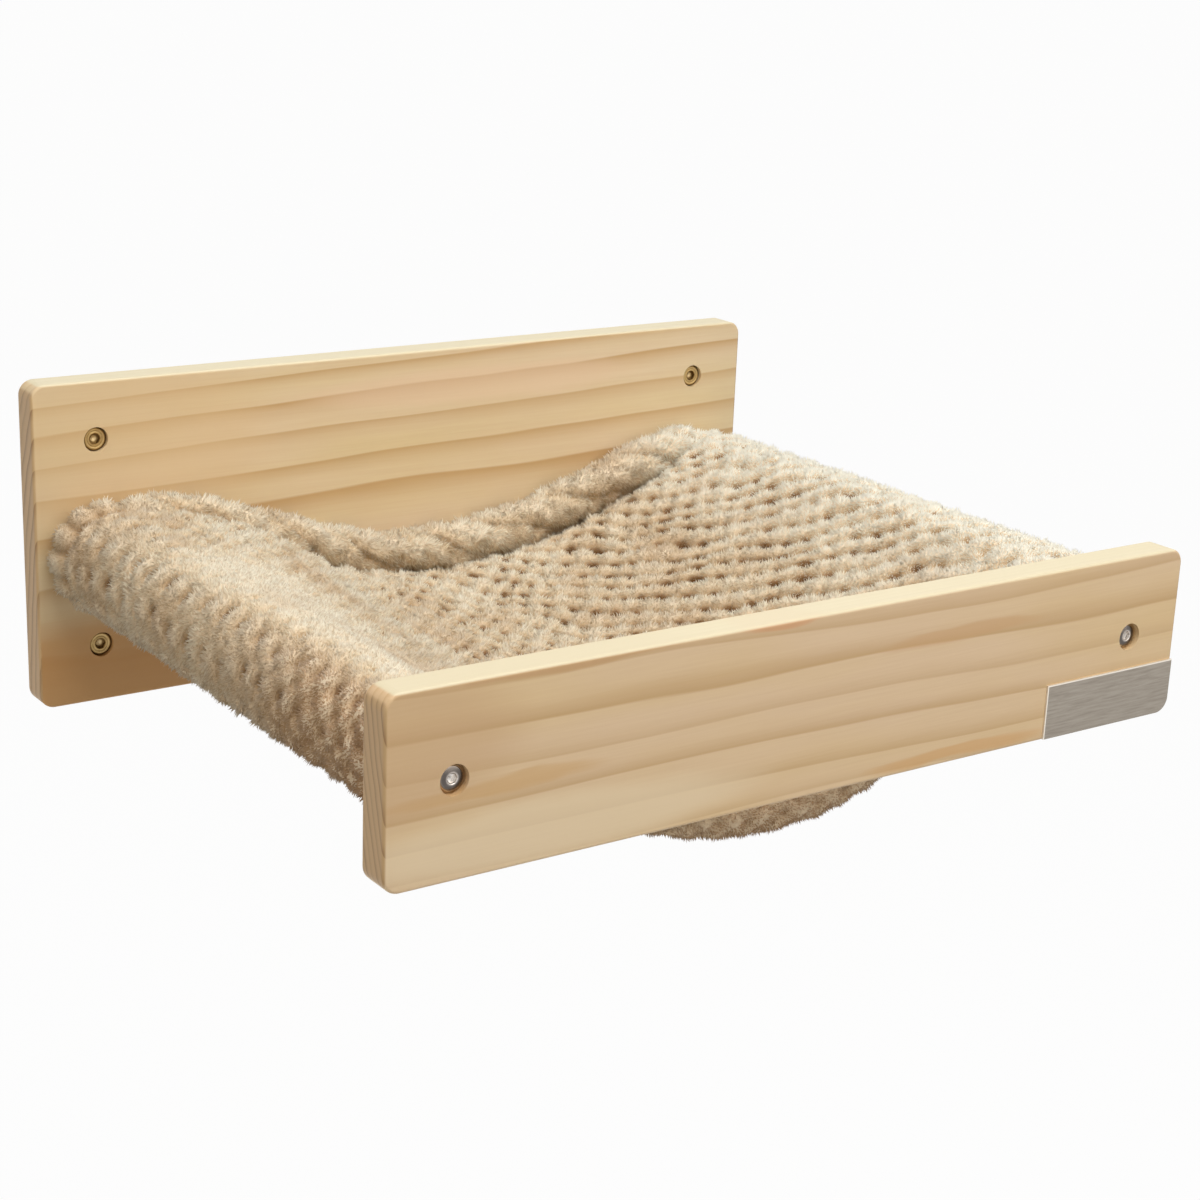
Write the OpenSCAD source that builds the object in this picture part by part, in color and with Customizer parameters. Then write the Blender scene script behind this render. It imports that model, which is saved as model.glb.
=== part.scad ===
// Wall mounted hammock shelf for a cat: two pine boards, two rods between them and a plush
// sling that hangs from the rods. The origin lies on the wall, at the middle of the four wall
// screws. X is the width, Z is up, and the shelf stands out from the wall along -Y.

/* [Boards] */
// Width of both boards
board_w = 460; // [430:5:520]
// Thickness of both boards
board_t = 18; // [15:0.5:22]
// Height of the wall board
wall_board_h = 176; // [150:1:220]
// Height of the front board
front_board_h = 87; // [78:1:120]
// Radius of the boards' corners
corner_r = 8; // [4:0.5:14]
// Rounding of the boards' long edges
edge_r = 1.5; // [0.5:0.25:2]

/* [Rods] */
// Distance of the rods' axes from the boards' ends
rod_inset = 33; // [33:1:60]
// Diameter of each rod
rod_d = 25; // [20:0.5:30]
// Length of each rod, which is the clear depth between the boards
rod_l = 350; // [280:5:420]
// How far the rods lie below the middle of the wall board
rod_drop = 5.6; // [0:0.2:20]
// Height of the rods above the lower edge of the front board
front_rod_up = 45; // [36:1:50]

/* [Bolts] */
// Diameter of the bolts' shanks
bolt_d = 6; // [5:0.5:8]
// Diameter of the bolts' heads
bolt_head_d = 12; // [10:0.5:13]
// Height of the bolts' heads
bolt_head_h = 3.3; // [2.5:0.1:4.5]
// Width of the socket in the bolts' heads, across its flats
bolt_socket_w = 4; // [3:0.5:5]
// Depth of the socket in the bolts' heads
bolt_socket_deep = 2.2; // [1:0.1:2.4]
// Diameter of the counterbores for the bolts' heads
bolt_recess_d = 14; // [13.2:0.1:16]
// Depth of the counterbores for the bolts' heads
bolt_recess_deep = 5; // [4.6:0.1:7]
// Diameter of the clearance holes for the bolts
bolt_hole_d = 6.6; // [6.2:0.1:7.5]
// How far the bolts reach into their inserts
bolt_grip = 14; // [8:0.5:15]

/* [Inserts] */
// Outer diameter of the threaded inserts
insert_d = 10; // [9:0.25:12]
// Length of the threaded inserts
insert_l = 16; // [15.5:0.5:22]
// Number of grooves round each insert
insert_grooves = 4; // [2:1:6]

/* [Wall screws] */
// Distance of the wall screws from the wall board's ends
screw_inset_w = 35; // [20:1:60]
// Distance of the wall screws from the wall board's upper and lower edges
screw_inset_h = 31.5; // [16:0.5:40]
// Diameter of the screws' threaded shanks
screw_d = 5; // [4:0.25:5.25]
// Diameter of the smooth necks under the screws' heads
screw_neck_d = 3.6; // [3:0.1:4]
// How far the necks stand out behind the wall board before the thread starts
screw_neck_out = 2.2; // [1:0.1:6]
// Length of the screws under the head
screw_l = 54; // [40:1:70]
// Length of the screws' points
screw_point_l = 9; // [6:0.5:12]
// Diameter of the screws' heads
screw_head_d = 12.6; // [10:0.1:12.8]
// Height of the screws' heads
screw_head_h = 3.6; // [3:0.1:4.2]
// Width of the socket in the screws' heads, across its flats
screw_socket_w = 5; // [4:0.5:6]
// Depth of the socket in the screws' heads
screw_socket_deep = 2.2; // [1:0.1:2.6]
// Diameter of the counterbores for the screws' heads
screw_recess_d = 13.4; // [13:0.1:16]
// Depth of the counterbores for the screws' heads
screw_recess_deep = 5.2; // [4.4:0.1:7]
// Diameter of the clearance holes for the screws
screw_hole_d = 5.6; // [5.4:0.1:7]

/* [Plate] */
// Width of the blank metal plate
plate_w = 88; // [50:1:120]
// Height of the blank metal plate
plate_h = 28; // [18:0.5:34]
// Thickness of the blank metal plate
plate_t = 1; // [0.6:0.1:2]
// Distance of the plate from the front board's side and lower edge
plate_margin = 0.4; // [0:0.1:3]

/* [Sling] */
// Radius of the plush sleeves round the rods
sleeve_r = 29; // [24:0.5:31]
// Radius of the rolled cuffs at the sleeves' ends
cuff_r = 31.5; // [31.5:0.25:32.5]
// Width of the rolled cuffs
cuff_w = 21; // [18:0.5:24]
// Thickness of the rolled rear hem
rear_hem_d = 24.5; // [18:0.5:26]
// Thickness of the rolled front hem
front_hem_d = 21; // [14:0.5:24]
// Thickness of each of the sling's two plush layers
layer_t = 7.5; // [5:0.25:10]
// How far the rear hem's middle hangs below the rods
rear_hem_sag = 20.5; // [10:0.5:30]
// How far the cloth hangs below the rods along the rear hem
rear_sag = 31; // [22:1:45]
// How far the cloth and the front hem hang below the rods along the front board
front_sag = 63; // [40:1:85]
// How much deeper the sling hangs between its hems
belly_sag = 5; // [0:0.5:15]
// Height above the rods at which the cloth meets the sleeves
attach_up = 18; // [10:0.5:20]
// Gap between the sling's ends and the boards
end_gap = 1; // [0.5:0.1:3]

/* [Fits] */
// Gap all round between the bolts, the inserts and the rods' end bores
thread_gap = 0.05; // [0.02:0.01:0.1]
// Gap between soft pieces, and between them and the rods
soft_gap = 0.3; // [0.2:0.05:0.6]
// How far cutting shapes run past what they cut
overrun = 1; // [0.5:0.5:2]

/* [Hidden] */
$fn = 64;

left = -1;
right = 1;
lower = -1;
upper = 1;
pine = "burlywood";
steel = "lightgray";
yellow_zinc = "goldenrod";
plush = "wheat";

rod_x = board_w / 2 - rod_inset;
screw_x = board_w / 2 - screw_inset_w;
screw_z = wall_board_h / 2 - screw_inset_h;
rod_z = -rod_drop;
wall_board_face = -board_t;
front_board_back = wall_board_face - rod_l;
front_board_face = front_board_back - board_t;
front_board_z = rod_z - front_rod_up + front_board_h / 2;

// Rounding of a bolt head's dome, as a share of the head's diameter
dome_r_share = 0.75;
// Depth of the grooves round an insert, as a share of its diameter
groove_share = 0.05;

// The cloth starts inside the sleeves, this share of their radius from the rods' axes
tuck_share = 0.4;
cloth_reach = rod_x - sleeve_r * tuck_share;
// Drop of the cloth from where it meets the sleeves to its lowest line, as shares of the whole
// drop, in even steps from the left rod to the right one
rear_drop_shares = [0, 0.01, 0.28, 0.74, 0.92, 1, 0.94, 0.86, 0.63, 0.34, 0];
front_drop_shares = [0, 0.35, 0.65, 0.85, 0.97, 1, 0.93, 0.73, 0.52, 0.28, 0];
// The same for the rear hem, which runs up over the cuffs
rear_hem_drop_shares = [-0.04, 0.08, 0.36, 0.7, 0.95, 1, 0.935, 0.74, 0.42, 0.1, -0.1];
// Steps across the cloth, steps from its rear edge to its front edge, and sides of a hem
steps_across = 30;
steps_deep = 8;
hem_sides = 10;

rear_hem_line = end_gap + rear_hem_d / 2;
front_hem_line = rod_l - end_gap - front_hem_d / 2;
cloth_rear = end_gap + rear_hem_d + soft_gap;
cloth_front = rod_l - end_gap - front_hem_d - soft_gap;

// A rectangle with round corners, its middle at the origin
module rounded_rect(w, h, r) {
    square([w - 2 * r, h], center = true);
    square([w, h - 2 * r], center = true);
    for (x = [left, right])
        for (y = [lower, upper])
            translate([x * (w / 2 - r), y * (h / 2 - r)])
                circle(r);
}

// A disc of radius r and thickness t along Z, its rims rounded by e
module rim_disc(r, t, e) {
    rotate_extrude()
        union() {
            square([r - e, t]);
            translate([0, e])
                square([r, t - 2 * e]);
            for (y = [e, t - e])
                translate([r - e, y])
                    intersection() {
                        circle(e);
                        translate([0, -e])
                            square([e, 2 * e]);
                    }
        }
}

// A ring of padding of radius r and thickness t along Z, its rim fully round
module cuff(r, t) {
    rotate_extrude()
        union() {
            square([r - t / 2, t]);
            translate([r - t / 2, t / 2])
                circle(t / 2);
        }
}

// A board with round corners and rounded edges, from the plane Y = 0 to Y = t
module board(w, h, t, r, e) {
    translate([0, t / 2, 0]) {
        translate([r - w / 2, 0, 0])
            rotate([90, 0, 90])
                linear_extrude(w - 2 * r)
                    rounded_rect(t, h, e);
        translate([0, 0, r - h / 2])
            linear_extrude(h - 2 * r)
                rounded_rect(w, t, e);
    }
    for (x = [left, right])
        for (z = [lower, upper])
            translate([x * (w / 2 - r), 0, z * (h / 2 - r)])
                rotate([-90, 0, 0])
                    rim_disc(r, t, e);
}

// Cuts a clearance hole through a board's thickness, counterbored from the plane Y = 0
module counterbored_hole(hole_d, recess_d, recess_deep) {
    rotate([-90, 0, 0]) {
        translate([0, 0, -overrun])
            cylinder(d = recess_d, h = recess_deep + overrun);
        cylinder(d = hole_d, h = board_t + overrun);
    }
}

module wall_board() {
    color(pine)
        difference() {
            translate([0, wall_board_face, 0])
                board(board_w, wall_board_h, board_t, corner_r, edge_r);
            for (x = [left, right])
                for (z = [lower, upper])
                    translate([x * screw_x, wall_board_face, z * screw_z])
                        counterbored_hole(screw_hole_d, screw_recess_d, screw_recess_deep);
            for (x = [left, right])
                translate([x * rod_x, 0, rod_z])
                    rotate([0, 0, 180])
                        counterbored_hole(bolt_hole_d, bolt_recess_d, bolt_recess_deep);
        }
}

module front_board() {
    color(pine)
        difference() {
            translate([0, front_board_face, front_board_z])
                board(board_w, front_board_h, board_t, corner_r, edge_r);
            for (x = [left, right])
                translate([x * rod_x, front_board_face, rod_z])
                    counterbored_hole(bolt_hole_d, bolt_recess_d, bolt_recess_deep);
        }
}

// A rod between the boards, with a bore at each end for an insert and a bolt's tip
module rod(side) {
    bore_d = insert_d + 2 * thread_gap;
    color(pine)
        translate([side * rod_x, front_board_back, rod_z])
            rotate([-90, 0, 0])
                difference() {
                    cylinder(d = rod_d, h = rod_l);
                    for (z = [-overrun, rod_l - insert_l])
                        translate([0, 0, z])
                            cylinder(d = bore_d, h = insert_l + overrun);
                }
}

// A threaded insert, from its mouth at the origin along Z
module rod_insert() {
    groove_h = insert_l / (2 * insert_grooves + 1);
    groove_deep = insert_d * groove_share;
    color(steel)
        difference() {
            cylinder(d = insert_d, h = insert_l);
            translate([0, 0, -overrun])
                cylinder(d = bolt_d + 2 * thread_gap, h = insert_l + 2 * overrun);
            for (i = [1 : insert_grooves])
                translate([0, 0, (2 * i - 1) * groove_h])
                    difference() {
                        cylinder(d = insert_d + overrun, h = groove_h);
                        cylinder(d = insert_d - 2 * groove_deep, h = groove_h);
                    }
        }
}

// Places an insert in the front or rear end of a rod
module placed_insert(side, at_front) {
    translate([side * rod_x, at_front ? front_board_back : wall_board_face, rod_z])
        rotate([at_front ? -90 : 90, 0, 0])
            rod_insert();
}

// A bolt with a domed head: its head stands on the plane Z = 0 and its shank points along Z
module bolt() {
    shank_l = board_t - bolt_recess_deep + bolt_grip;
    dome_r = bolt_head_d * dome_r_share;
    color(steel) {
        cylinder(d = bolt_d, h = shank_l);
        difference() {
            intersection() {
                translate([0, 0, -bolt_head_h])
                    cylinder(d = bolt_head_d, h = bolt_head_h);
                translate([0, 0, dome_r - bolt_head_h])
                    sphere(dome_r);
            }
            translate([0, 0, -bolt_head_h - overrun])
                cylinder(d = bolt_socket_w / cos(30), h = bolt_socket_deep + overrun, $fn = 6);
        }
    }
}

// Places a bolt in the front board, or in the wall board's rear face
module placed_bolt(side, at_front) {
    seat = at_front ? front_board_face + bolt_recess_deep : -bolt_recess_deep;
    translate([side * rod_x, seat, rod_z])
        rotate([at_front ? -90 : 90, 0, 0])
            bolt();
}

// A wood screw: its head stands on the plane Z = 0 and its shank points along Z
module wall_screw() {
    neck_l = board_t - screw_recess_deep + screw_neck_out;
    color(yellow_zinc) {
        cylinder(d = screw_neck_d, h = neck_l);
        translate([0, 0, neck_l])
            cylinder(d = screw_d, h = screw_l - screw_point_l - neck_l);
        translate([0, 0, screw_l - screw_point_l])
            cylinder(d1 = screw_d, d2 = 0, h = screw_point_l);
        difference() {
            translate([0, 0, -screw_head_h])
                cylinder(d = screw_head_d, h = screw_head_h);
            translate([0, 0, -screw_head_h - overrun])
                cylinder(d = screw_socket_w / cos(30), h = screw_socket_deep + overrun, $fn = 6);
        }
    }
}

// Places a screw in one of the wall board's four holes
module placed_screw(side, level) {
    seat = wall_board_face + screw_recess_deep;
    translate([side * screw_x, seat, level * screw_z])
        rotate([-90, 0, 0])
            wall_screw();
}

// The bare metal plate, one corner rounded to follow the board's corner
module blank_plate() {
    plate_corner_r = corner_r - plate_margin;
    color(steel)
        translate([board_w / 2 - plate_margin, front_board_face, front_board_z])
            rotate([90, 0, 0])
                linear_extrude(plate_t)
                    translate([-plate_w, plate_margin - front_board_h / 2])
                        union() {
                            translate([0, plate_corner_r])
                                square([plate_w, plate_h - plate_corner_r]);
                            square([plate_w - plate_corner_r, plate_h]);
                            translate([plate_w - plate_corner_r, plate_corner_r])
                                circle(plate_corner_r);
                        }
}

// A value between evenly spaced table entries on a smooth curve, for u from -1 to 1
function smooth(table, u) =
    let (last = len(table) - 1)
    let (at = (u + 1) / 2 * last)
    let (i = min(floor(at), last - 1))
    let (f = at - i)
    let (a = table[max(i - 1, 0)])
    let (b = table[i])
    let (c = table[i + 1])
    let (d = table[min(i + 2, last)])
    b + (c - a) * f / 2 + (2 * a - 5 * b + 4 * c - d) * f * f / 2
        + (3 * b - a - 3 * c + d) * f * f * f / 2;

// Height of the cloth's middle: u runs from -1 at the left rod to 1 at the right one, and
// deep is the distance from the wall board
function cloth_z(u, deep) =
    let (share = deep / rod_l)
    let (rear_drop = (attach_up + rear_sag) * smooth(rear_drop_shares, u))
    let (front_drop = (attach_up + front_sag) * smooth(front_drop_shares, u))
    let (belly = belly_sag * 4 * share * (1 - share) * (1 - u * u))
    rod_z + attach_up - rear_drop * (1 - share) - front_drop * share - belly;

// Height of the rear hem's middle, for u from -1 to 1
function rear_hem_z(u) =
    rod_z + attach_up - (attach_up + rear_hem_sag) * smooth(rear_hem_drop_shares, u);

// One layer of the cloth as a closed grid of triangles, from the height above the cloth's
// middle that low gives to the one that high gives
module cloth_layer(low, high) {
    across = steps_across + 1;
    rows = steps_deep + 1;
    points = [
        for (level = [low, high])
            for (j = [0 : steps_deep])
                for (i = [0 : steps_across])
                    let (u = 2 * i / steps_across - 1)
                    let (deep = cloth_rear + (cloth_front - cloth_rear) * j / steps_deep)
                    [u * cloth_reach, wall_board_face - deep, cloth_z(u, deep) + level]
    ];
    top = across * rows;
    under_faces = [
        for (j = [0 : steps_deep - 1])
            for (i = [0 : steps_across - 1])
                let (p = j * across + i)
                each [[p, p + 1, p + across + 1], [p, p + across + 1, p + across]]
    ];
    top_faces = [for (f = under_faces) [f[2] + top, f[1] + top, f[0] + top]];
    rim = concat(
        [for (i = [0 : steps_across - 1]) i],
        [for (j = [0 : steps_deep - 1]) j * across + steps_across],
        [for (i = [steps_across : -1 : 1]) steps_deep * across + i],
        [for (j = [steps_deep : -1 : 1]) j * across]
    );
    rim_faces = [
        for (k = [0 : len(rim) - 1])
            let (p = rim[k])
            let (q = rim[(k + 1) % len(rim)])
            each [[q, p, p + top], [q, p + top, q + top]]
    ];
    polyhedron(points, concat(under_faces, top_faces, rim_faces));
}

// The space of both sleeves and what they keep clear of, for cutting the cloth
module sleeve_space(r) {
    for (side = [left, right])
        translate([side * rod_x, front_board_back, rod_z])
            rotate([-90, 0, 0])
                cylinder(r = r + soft_gap, h = rod_l);
}

module sling_top() {
    color(plush)
        difference() {
            cloth_layer(soft_gap / 2, layer_t);
            sleeve_space(sleeve_r);
        }
}

module sling_underside() {
    color(plush)
        difference() {
            cloth_layer(-layer_t, -soft_gap / 2);
            sleeve_space(sleeve_r);
        }
}

// Even steps across the cloth, from -1 to 1
across_u = [for (i = [0 : steps_across]) 2 * i / steps_across - 1];

// A hem: a tube of radius hem_r through the given heights, at the given distance from the wall
// board
module hem(deep, hem_r, heights) {
    line = [for (i = [0 : steps_across]) [across_u[i] * cloth_reach, heights[i]]];
    points = [
        for (i = [0 : steps_across])
            let (p = line[max(i - 1, 0)])
            let (q = line[min(i + 1, steps_across)])
            let (slope = atan2(q[1] - p[1], q[0] - p[0]))
            for (k = [0 : hem_sides - 1])
                let (turn = 360 * k / hem_sides)
                let (out = hem_r * sin(turn))
                [
                    line[i][0] - out * sin(slope),
                    wall_board_face - deep + hem_r * cos(turn),
                    line[i][1] + out * cos(slope)
                ]
    ];
    sides = [
        for (i = [0 : steps_across - 1])
            for (k = [0 : hem_sides - 1])
                let (p = i * hem_sides + k)
                let (q = i * hem_sides + (k + 1) % hem_sides)
                each [[p, q, q + hem_sides], [p, q + hem_sides, p + hem_sides]]
    ];
    last = steps_across * hem_sides;
    ends = [
        for (k = [1 : hem_sides - 2])
            each [[0, k + 1, k], [last, last + k, last + k + 1]]
    ];
    color(plush)
        difference() {
            polyhedron(points, concat(sides, ends));
            sleeve_space(cuff_r);
        }
}

module rear_hem() {
    hem(rear_hem_line, rear_hem_d / 2, [for (u = across_u) rear_hem_z(u)]);
}

module front_hem() {
    hem(front_hem_line, front_hem_d / 2, [for (u = across_u) cloth_z(u, front_hem_line)]);
}

// A plush sleeve round a rod, with a rolled cuff at each end
module sleeve(side) {
    sleeve_l = rod_l - 2 * end_gap;
    color(plush)
        translate([side * rod_x, front_board_back + end_gap, rod_z])
            rotate([-90, 0, 0])
                difference() {
                    union() {
                        translate([0, 0, cuff_w / 2])
                            cylinder(r = sleeve_r, h = sleeve_l - cuff_w);
                        for (z = [0, sleeve_l - cuff_w])
                            translate([0, 0, z])
                                cuff(cuff_r, cuff_w);
                    }
                    translate([0, 0, -overrun])
                        cylinder(d = rod_d + 2 * soft_gap, h = sleeve_l + 2 * overrun);
                }
}

wall_board();
front_board();
rod(left);  // rod_left
rod(right);  // rod_right
placed_insert(left, true);  // rod_insert_left_front
placed_insert(left, false);  // rod_insert_left_rear
placed_insert(right, true);  // rod_insert_right_front
placed_insert(right, false);  // rod_insert_right_rear
placed_bolt(left, true);  // front_bolt_left
placed_bolt(right, true);  // front_bolt_right
placed_bolt(left, false);  // rear_bolt_left
placed_bolt(right, false);  // rear_bolt_right
placed_screw(left, upper);  // wall_screw_upper_left
placed_screw(right, upper);  // wall_screw_upper_right
placed_screw(left, lower);  // wall_screw_lower_left
placed_screw(right, lower);  // wall_screw_lower_right
blank_plate();
sling_top();
sling_underside();
sleeve(left);  // sleeve_left
sleeve(right);  // sleeve_right
rear_hem();
front_hem();
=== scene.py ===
# Wall mounted hammock shelf for a cat: pine boards and rods, a bubble plush sling, steel
# bolts, yellow zinc screws and a bare metal plate. The shapes are worked out in millimetres
# in the part's own frame and are stored in metres: X is the width, Z is up, and the shelf
# stands out from the wall along -Y.
import math
import bpy
import numpy as np
from mathutils import Matrix, Vector


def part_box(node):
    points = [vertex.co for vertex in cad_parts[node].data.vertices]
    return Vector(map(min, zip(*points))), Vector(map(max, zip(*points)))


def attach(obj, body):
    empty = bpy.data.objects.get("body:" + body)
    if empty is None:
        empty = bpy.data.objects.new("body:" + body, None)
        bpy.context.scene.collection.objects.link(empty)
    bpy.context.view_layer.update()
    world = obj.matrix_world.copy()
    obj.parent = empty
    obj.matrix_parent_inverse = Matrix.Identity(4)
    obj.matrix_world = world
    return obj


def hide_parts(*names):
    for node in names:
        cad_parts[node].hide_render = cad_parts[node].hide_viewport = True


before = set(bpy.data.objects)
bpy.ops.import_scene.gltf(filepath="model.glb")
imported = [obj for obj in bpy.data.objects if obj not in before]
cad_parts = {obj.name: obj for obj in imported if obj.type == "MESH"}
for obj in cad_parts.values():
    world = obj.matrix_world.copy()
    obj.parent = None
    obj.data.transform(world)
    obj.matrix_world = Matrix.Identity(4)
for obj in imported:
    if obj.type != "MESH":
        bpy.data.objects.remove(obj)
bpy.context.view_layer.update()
scene = bpy.context.scene
scene.view_settings.view_transform = "Standard"
MM = 0.001
TURN = 2 * math.pi


# Sizes from the frame

def box_mm(node):
    """A node's lowest and highest corners in millimetres."""
    low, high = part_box(node)
    return np.array(low) / MM, np.array(high) / MM


rod_low, rod_high = box_mm("rod_right")
ROD_X, _, ROD_Z = (rod_low + rod_high) / 2
ROD_R = (rod_high[2] - rod_low[2]) / 2
WALL_FACE = rod_high[1]
DEPTH = rod_high[1] - rod_low[1]

# The sling's sizes in millimetres, for the left side, -1, and the right side, 1
SLEEVE_R = {-1: 25.8, 1: 29.4}
CUFF_R = {-1: 27.6, 1: 27.5}
# How far the middle of each sleeve's outer face lies off its rod's axis, to the right and up
SLEEVE_MOVED = {-1: (1.0, 1.5), 1: (0.0, 0.0)}
# Width of the cuffs, how far they run out into the sleeve, and the groove beside them
CUFF_W = 21.0
CUFF_EASE = 3
GROOVE_W = 2.6
GROOVE_DEEP = 3.5
REAR_HEM_R = 12.0
FRONT_HEM_R = 8.6
# Distance of the two hems' middle lines from the wall board
REAR_HEM_AT = 13.25
FRONT_HEM_AT = 338.5
# Thickness of a layer, the gap between soft pieces, and the gap from the sleeves to the boards
LAYER_T = 7.5
SOFT_GAP = 0.3
END_GAP = 1.0
# Height over the rods' axes at which the cloth meets the sleeves, and its sags below the axes
ATTACH_UP = 18.0
REAR_HEM_SAG = 20.5
REAR_SAG = 31.0
FRONT_SAG = 63.0
BELLY_SAG = 5.0
# The blend into the sleeves: the fillet's size, the cloth's dip inside them, and how far a
# sleeve's steep flank is sunk to leave it out
SLEEVE_BLEND = 6.0
CLOTH_DIP = 8
FLANK_SUNK = 60
# The cloth starts inside the sleeves, this far from the middle
CLOTH_REACH = 185.4
# Drop of the cloth from where it meets the sleeves to its lowest line, as shares of the whole
# drop, in even steps from the left rod to the right one, and the same for the rear hem
REAR_DROP_SHARES = (0, 0.01, 0.28, 0.74, 0.92, 1, 0.94, 0.86, 0.63, 0.34, 0)
FRONT_DROP_SHARES = (0, 0.35, 0.65, 0.85, 0.97, 1, 0.93, 0.73, 0.52, 0.28, 0)
REAR_HEM_DROP_SHARES = (-0.04, 0.08, 0.36, 0.7, 0.95, 1, 0.935, 0.74, 0.42, 0.1, -0.1)
# The fold in front of the rear hem: its depth, where its floor ends and it is level again
FOLD_DEEP = 10.0
FOLD_AT = (20.0, 36.0)
# How far the upper layer's rear edge rises to the hem over it, where that ends, and how far
# inside the sleeves' edges it sets in
EDGE_RISE = 4.4
EDGE_RISE_END = 32.0
EDGE_RISE_FROM = (15, 50)
# Where the fold and the swell set in beside the sleeves, as shares of the reach
INSIDE_FROM = (0.03, 0.25)
# The swell in front of that fold, on the right side: height, and middle and width of the bell
# curves over the depth and over X
SWELL_UP = 3.0
SWELL_DEPTHS = (42.0, 11.0)
SWELL_ACROSS = (115.0, 60.0)
# The plush: size of the cells whose corners and middles are pits, and height of the bubbles
CELL = 18.8
BUBBLE_H = 6.2
# Height of the bubbles, as a share, at which the plush lies on the smooth face
BUBBLE_LEVEL = 0.62
# How far the cells wander, and over what length
WANDER = 2.7
WANDER_L = 50
# Heights and lengths of the fine noise on the plush
FINE_NOISE = ((0.2, 4.5), (0.3, 9))
# How much the pits' depth differs from place to place, as a share, and over what length
UNEVEN = 0.3
UNEVEN_L = 42
# The brushed patch: its left and right limits at the wall board and how far each moves to the
# right towards the front, and the depths over which it sets in
BRUSHED_LEFT = (-202, 4)
BRUSHED_RIGHT = (-136, 26)
BRUSHED_FROM = (60, 130)
# Where the right slope's pale part rises and ends
PALE_FROM = (120, 180)
PALE_TO = (200, 216)
# The rings in the pattern: their share on each sleeve, how much the left one loses towards the
# front and over which shares of the depth, and where they set in
LEFT_RINGS = 0.5
RIGHT_RINGS = 0.2
RINGS_LOST = 0.35
RINGS_LOST_AT = (0.55, 0.95)
RINGS_FROM = (160, 190)
# The slanted rows on the right slope: their share, where it rises and where half of it goes,
# their part next to the wall board, and the depths over which the rest sets in
ROWS = 0.42
ROWS_FROM = (0, 80)
ROWS_TO = (170, 200)
ROWS_AT_WALL = 0.3
ROWS_DEPTHS = (30, 130)
# How much of their height the bubbles lose on the brushed patch, on the pale part and below
FLATTENED = 0.78
RIGHT_FLATTENED = 0.2
UNDER_FLATTENED = 0.35
# Size of the lobes on the cuffs
LOBE = 13.5
# The strands along the rear hem: length, depth, how far they wind with the turn, how unevenly
# and over what length, and the power that rounds them
STRAND = 50.0
STRAND_DEEP = 2.7
STRAND_WIND = 1.5
STRAND_UNEVEN = 0.6
STRAND_UNEVEN_L = 90
STRAND_ROUND = 0.65
# How much longer the rear hem's lower half is, down to the sheet
HEM_FOOT = 0.22
# How far the painted shade on the bubbles' front slopes lies before their pits
TUFT_SHADE = 1.8
# How far the rings round the left sleeve drift towards the wall on their way down
RING_DRIFT = 0.09


# Smooth functions on whole arrays

# Number of plane waves in a smooth noise
WAVES = 14


def along(shares, u):
    """Value at u, from -1 to 1, of the smooth curve through evenly spaced shares."""
    table = np.array(shares, dtype=float)
    last = len(table) - 1
    at = (np.clip(u, -1, 1) + 1) / 2 * last
    i = np.minimum(np.floor(at).astype(int), last - 1)
    f = at - i
    a = table[np.maximum(i - 1, 0)]
    b = table[i]
    c = table[i + 1]
    d = table[np.minimum(i + 2, last)]
    bend = (2 * a - 5 * b + 4 * c - d) * f * f / 2 + (3 * b - a - 3 * c + d) * f ** 3 / 2
    return b + (c - a) * f / 2 + bend


def bump(value, middle, width):
    """A bell curve of height 1 round the middle."""
    return np.exp(-((value - middle) / width) ** 2)


def step_up(value, start, end):
    """0 before start, 1 after end, and a smooth rise between them."""
    f = np.clip((value - start) / (end - start), 0, 1)
    return f * f * (3 - 2 * f)


def plateau(value, rise, fall):
    """1 between two smooth steps, up over the first range and down over the second."""
    return step_up(value, *rise) * (1 - step_up(value, *fall))


def smooth_max(a, b, blend):
    """The larger of two surfaces, with a fillet of about the blend's size between them."""
    f = np.clip(0.5 + 0.5 * (b - a) / blend, 0, 1)
    return a * (1 - f) + b * f + blend * f * (1 - f)


def waves(seed, length, *coords):
    """Smooth noise of about -1 to 1: plane waves of about the given length, with random
    directions and phases, added up."""
    rng = np.random.default_rng(seed)
    total = 0
    for _ in range(WAVES):
        way = rng.normal(size=len(coords))
        way /= np.linalg.norm(way)
        turn = TURN / (length * rng.uniform(0.75, 1.4))
        total = total + np.sin(turn * sum(w * c for w, c in zip(way, coords))
                               + rng.uniform(0, TURN))
    return total / math.sqrt(WAVES)


# The sling's shape

def cloth_middle(x, deep):
    """Height of the cloth's middle: the drops along the two boards, mixed by the distance from
    the wall board, with a belly between them, a fold behind the rear edge and a swell."""
    u = np.clip(x / CLOTH_REACH, -1, 1)
    share = deep / DEPTH
    rear = (ATTACH_UP + REAR_SAG) * along(REAR_DROP_SHARES, u)
    front = (ATTACH_UP + FRONT_SAG) * along(FRONT_DROP_SHARES, u)
    belly = BELLY_SAG * 4 * share * (1 - share) * (1 - u * u)
    inside = step_up(1 - np.abs(u), *INSIDE_FROM)
    fold = FOLD_DEEP * (1 - step_up(deep, *FOLD_AT)) * inside
    swell = SWELL_UP * bump(deep, *SWELL_DEPTHS) * bump(x, *SWELL_ACROSS) * inside
    return ROD_Z + ATTACH_UP - rear * (1 - share) - front * share - belly - fold + swell


def rear_hem_middle(x):
    """Height of the rear hem's middle line."""
    u = np.clip(x / CLOTH_REACH, -1, 1)
    return ROD_Z + ATTACH_UP - (ATTACH_UP + REAR_HEM_SAG) * along(REAR_HEM_DROP_SHARES, u)


def front_hem_middle(x):
    """Height of the front hem's middle line."""
    return cloth_middle(x, np.full_like(x, FRONT_HEM_AT))


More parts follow.
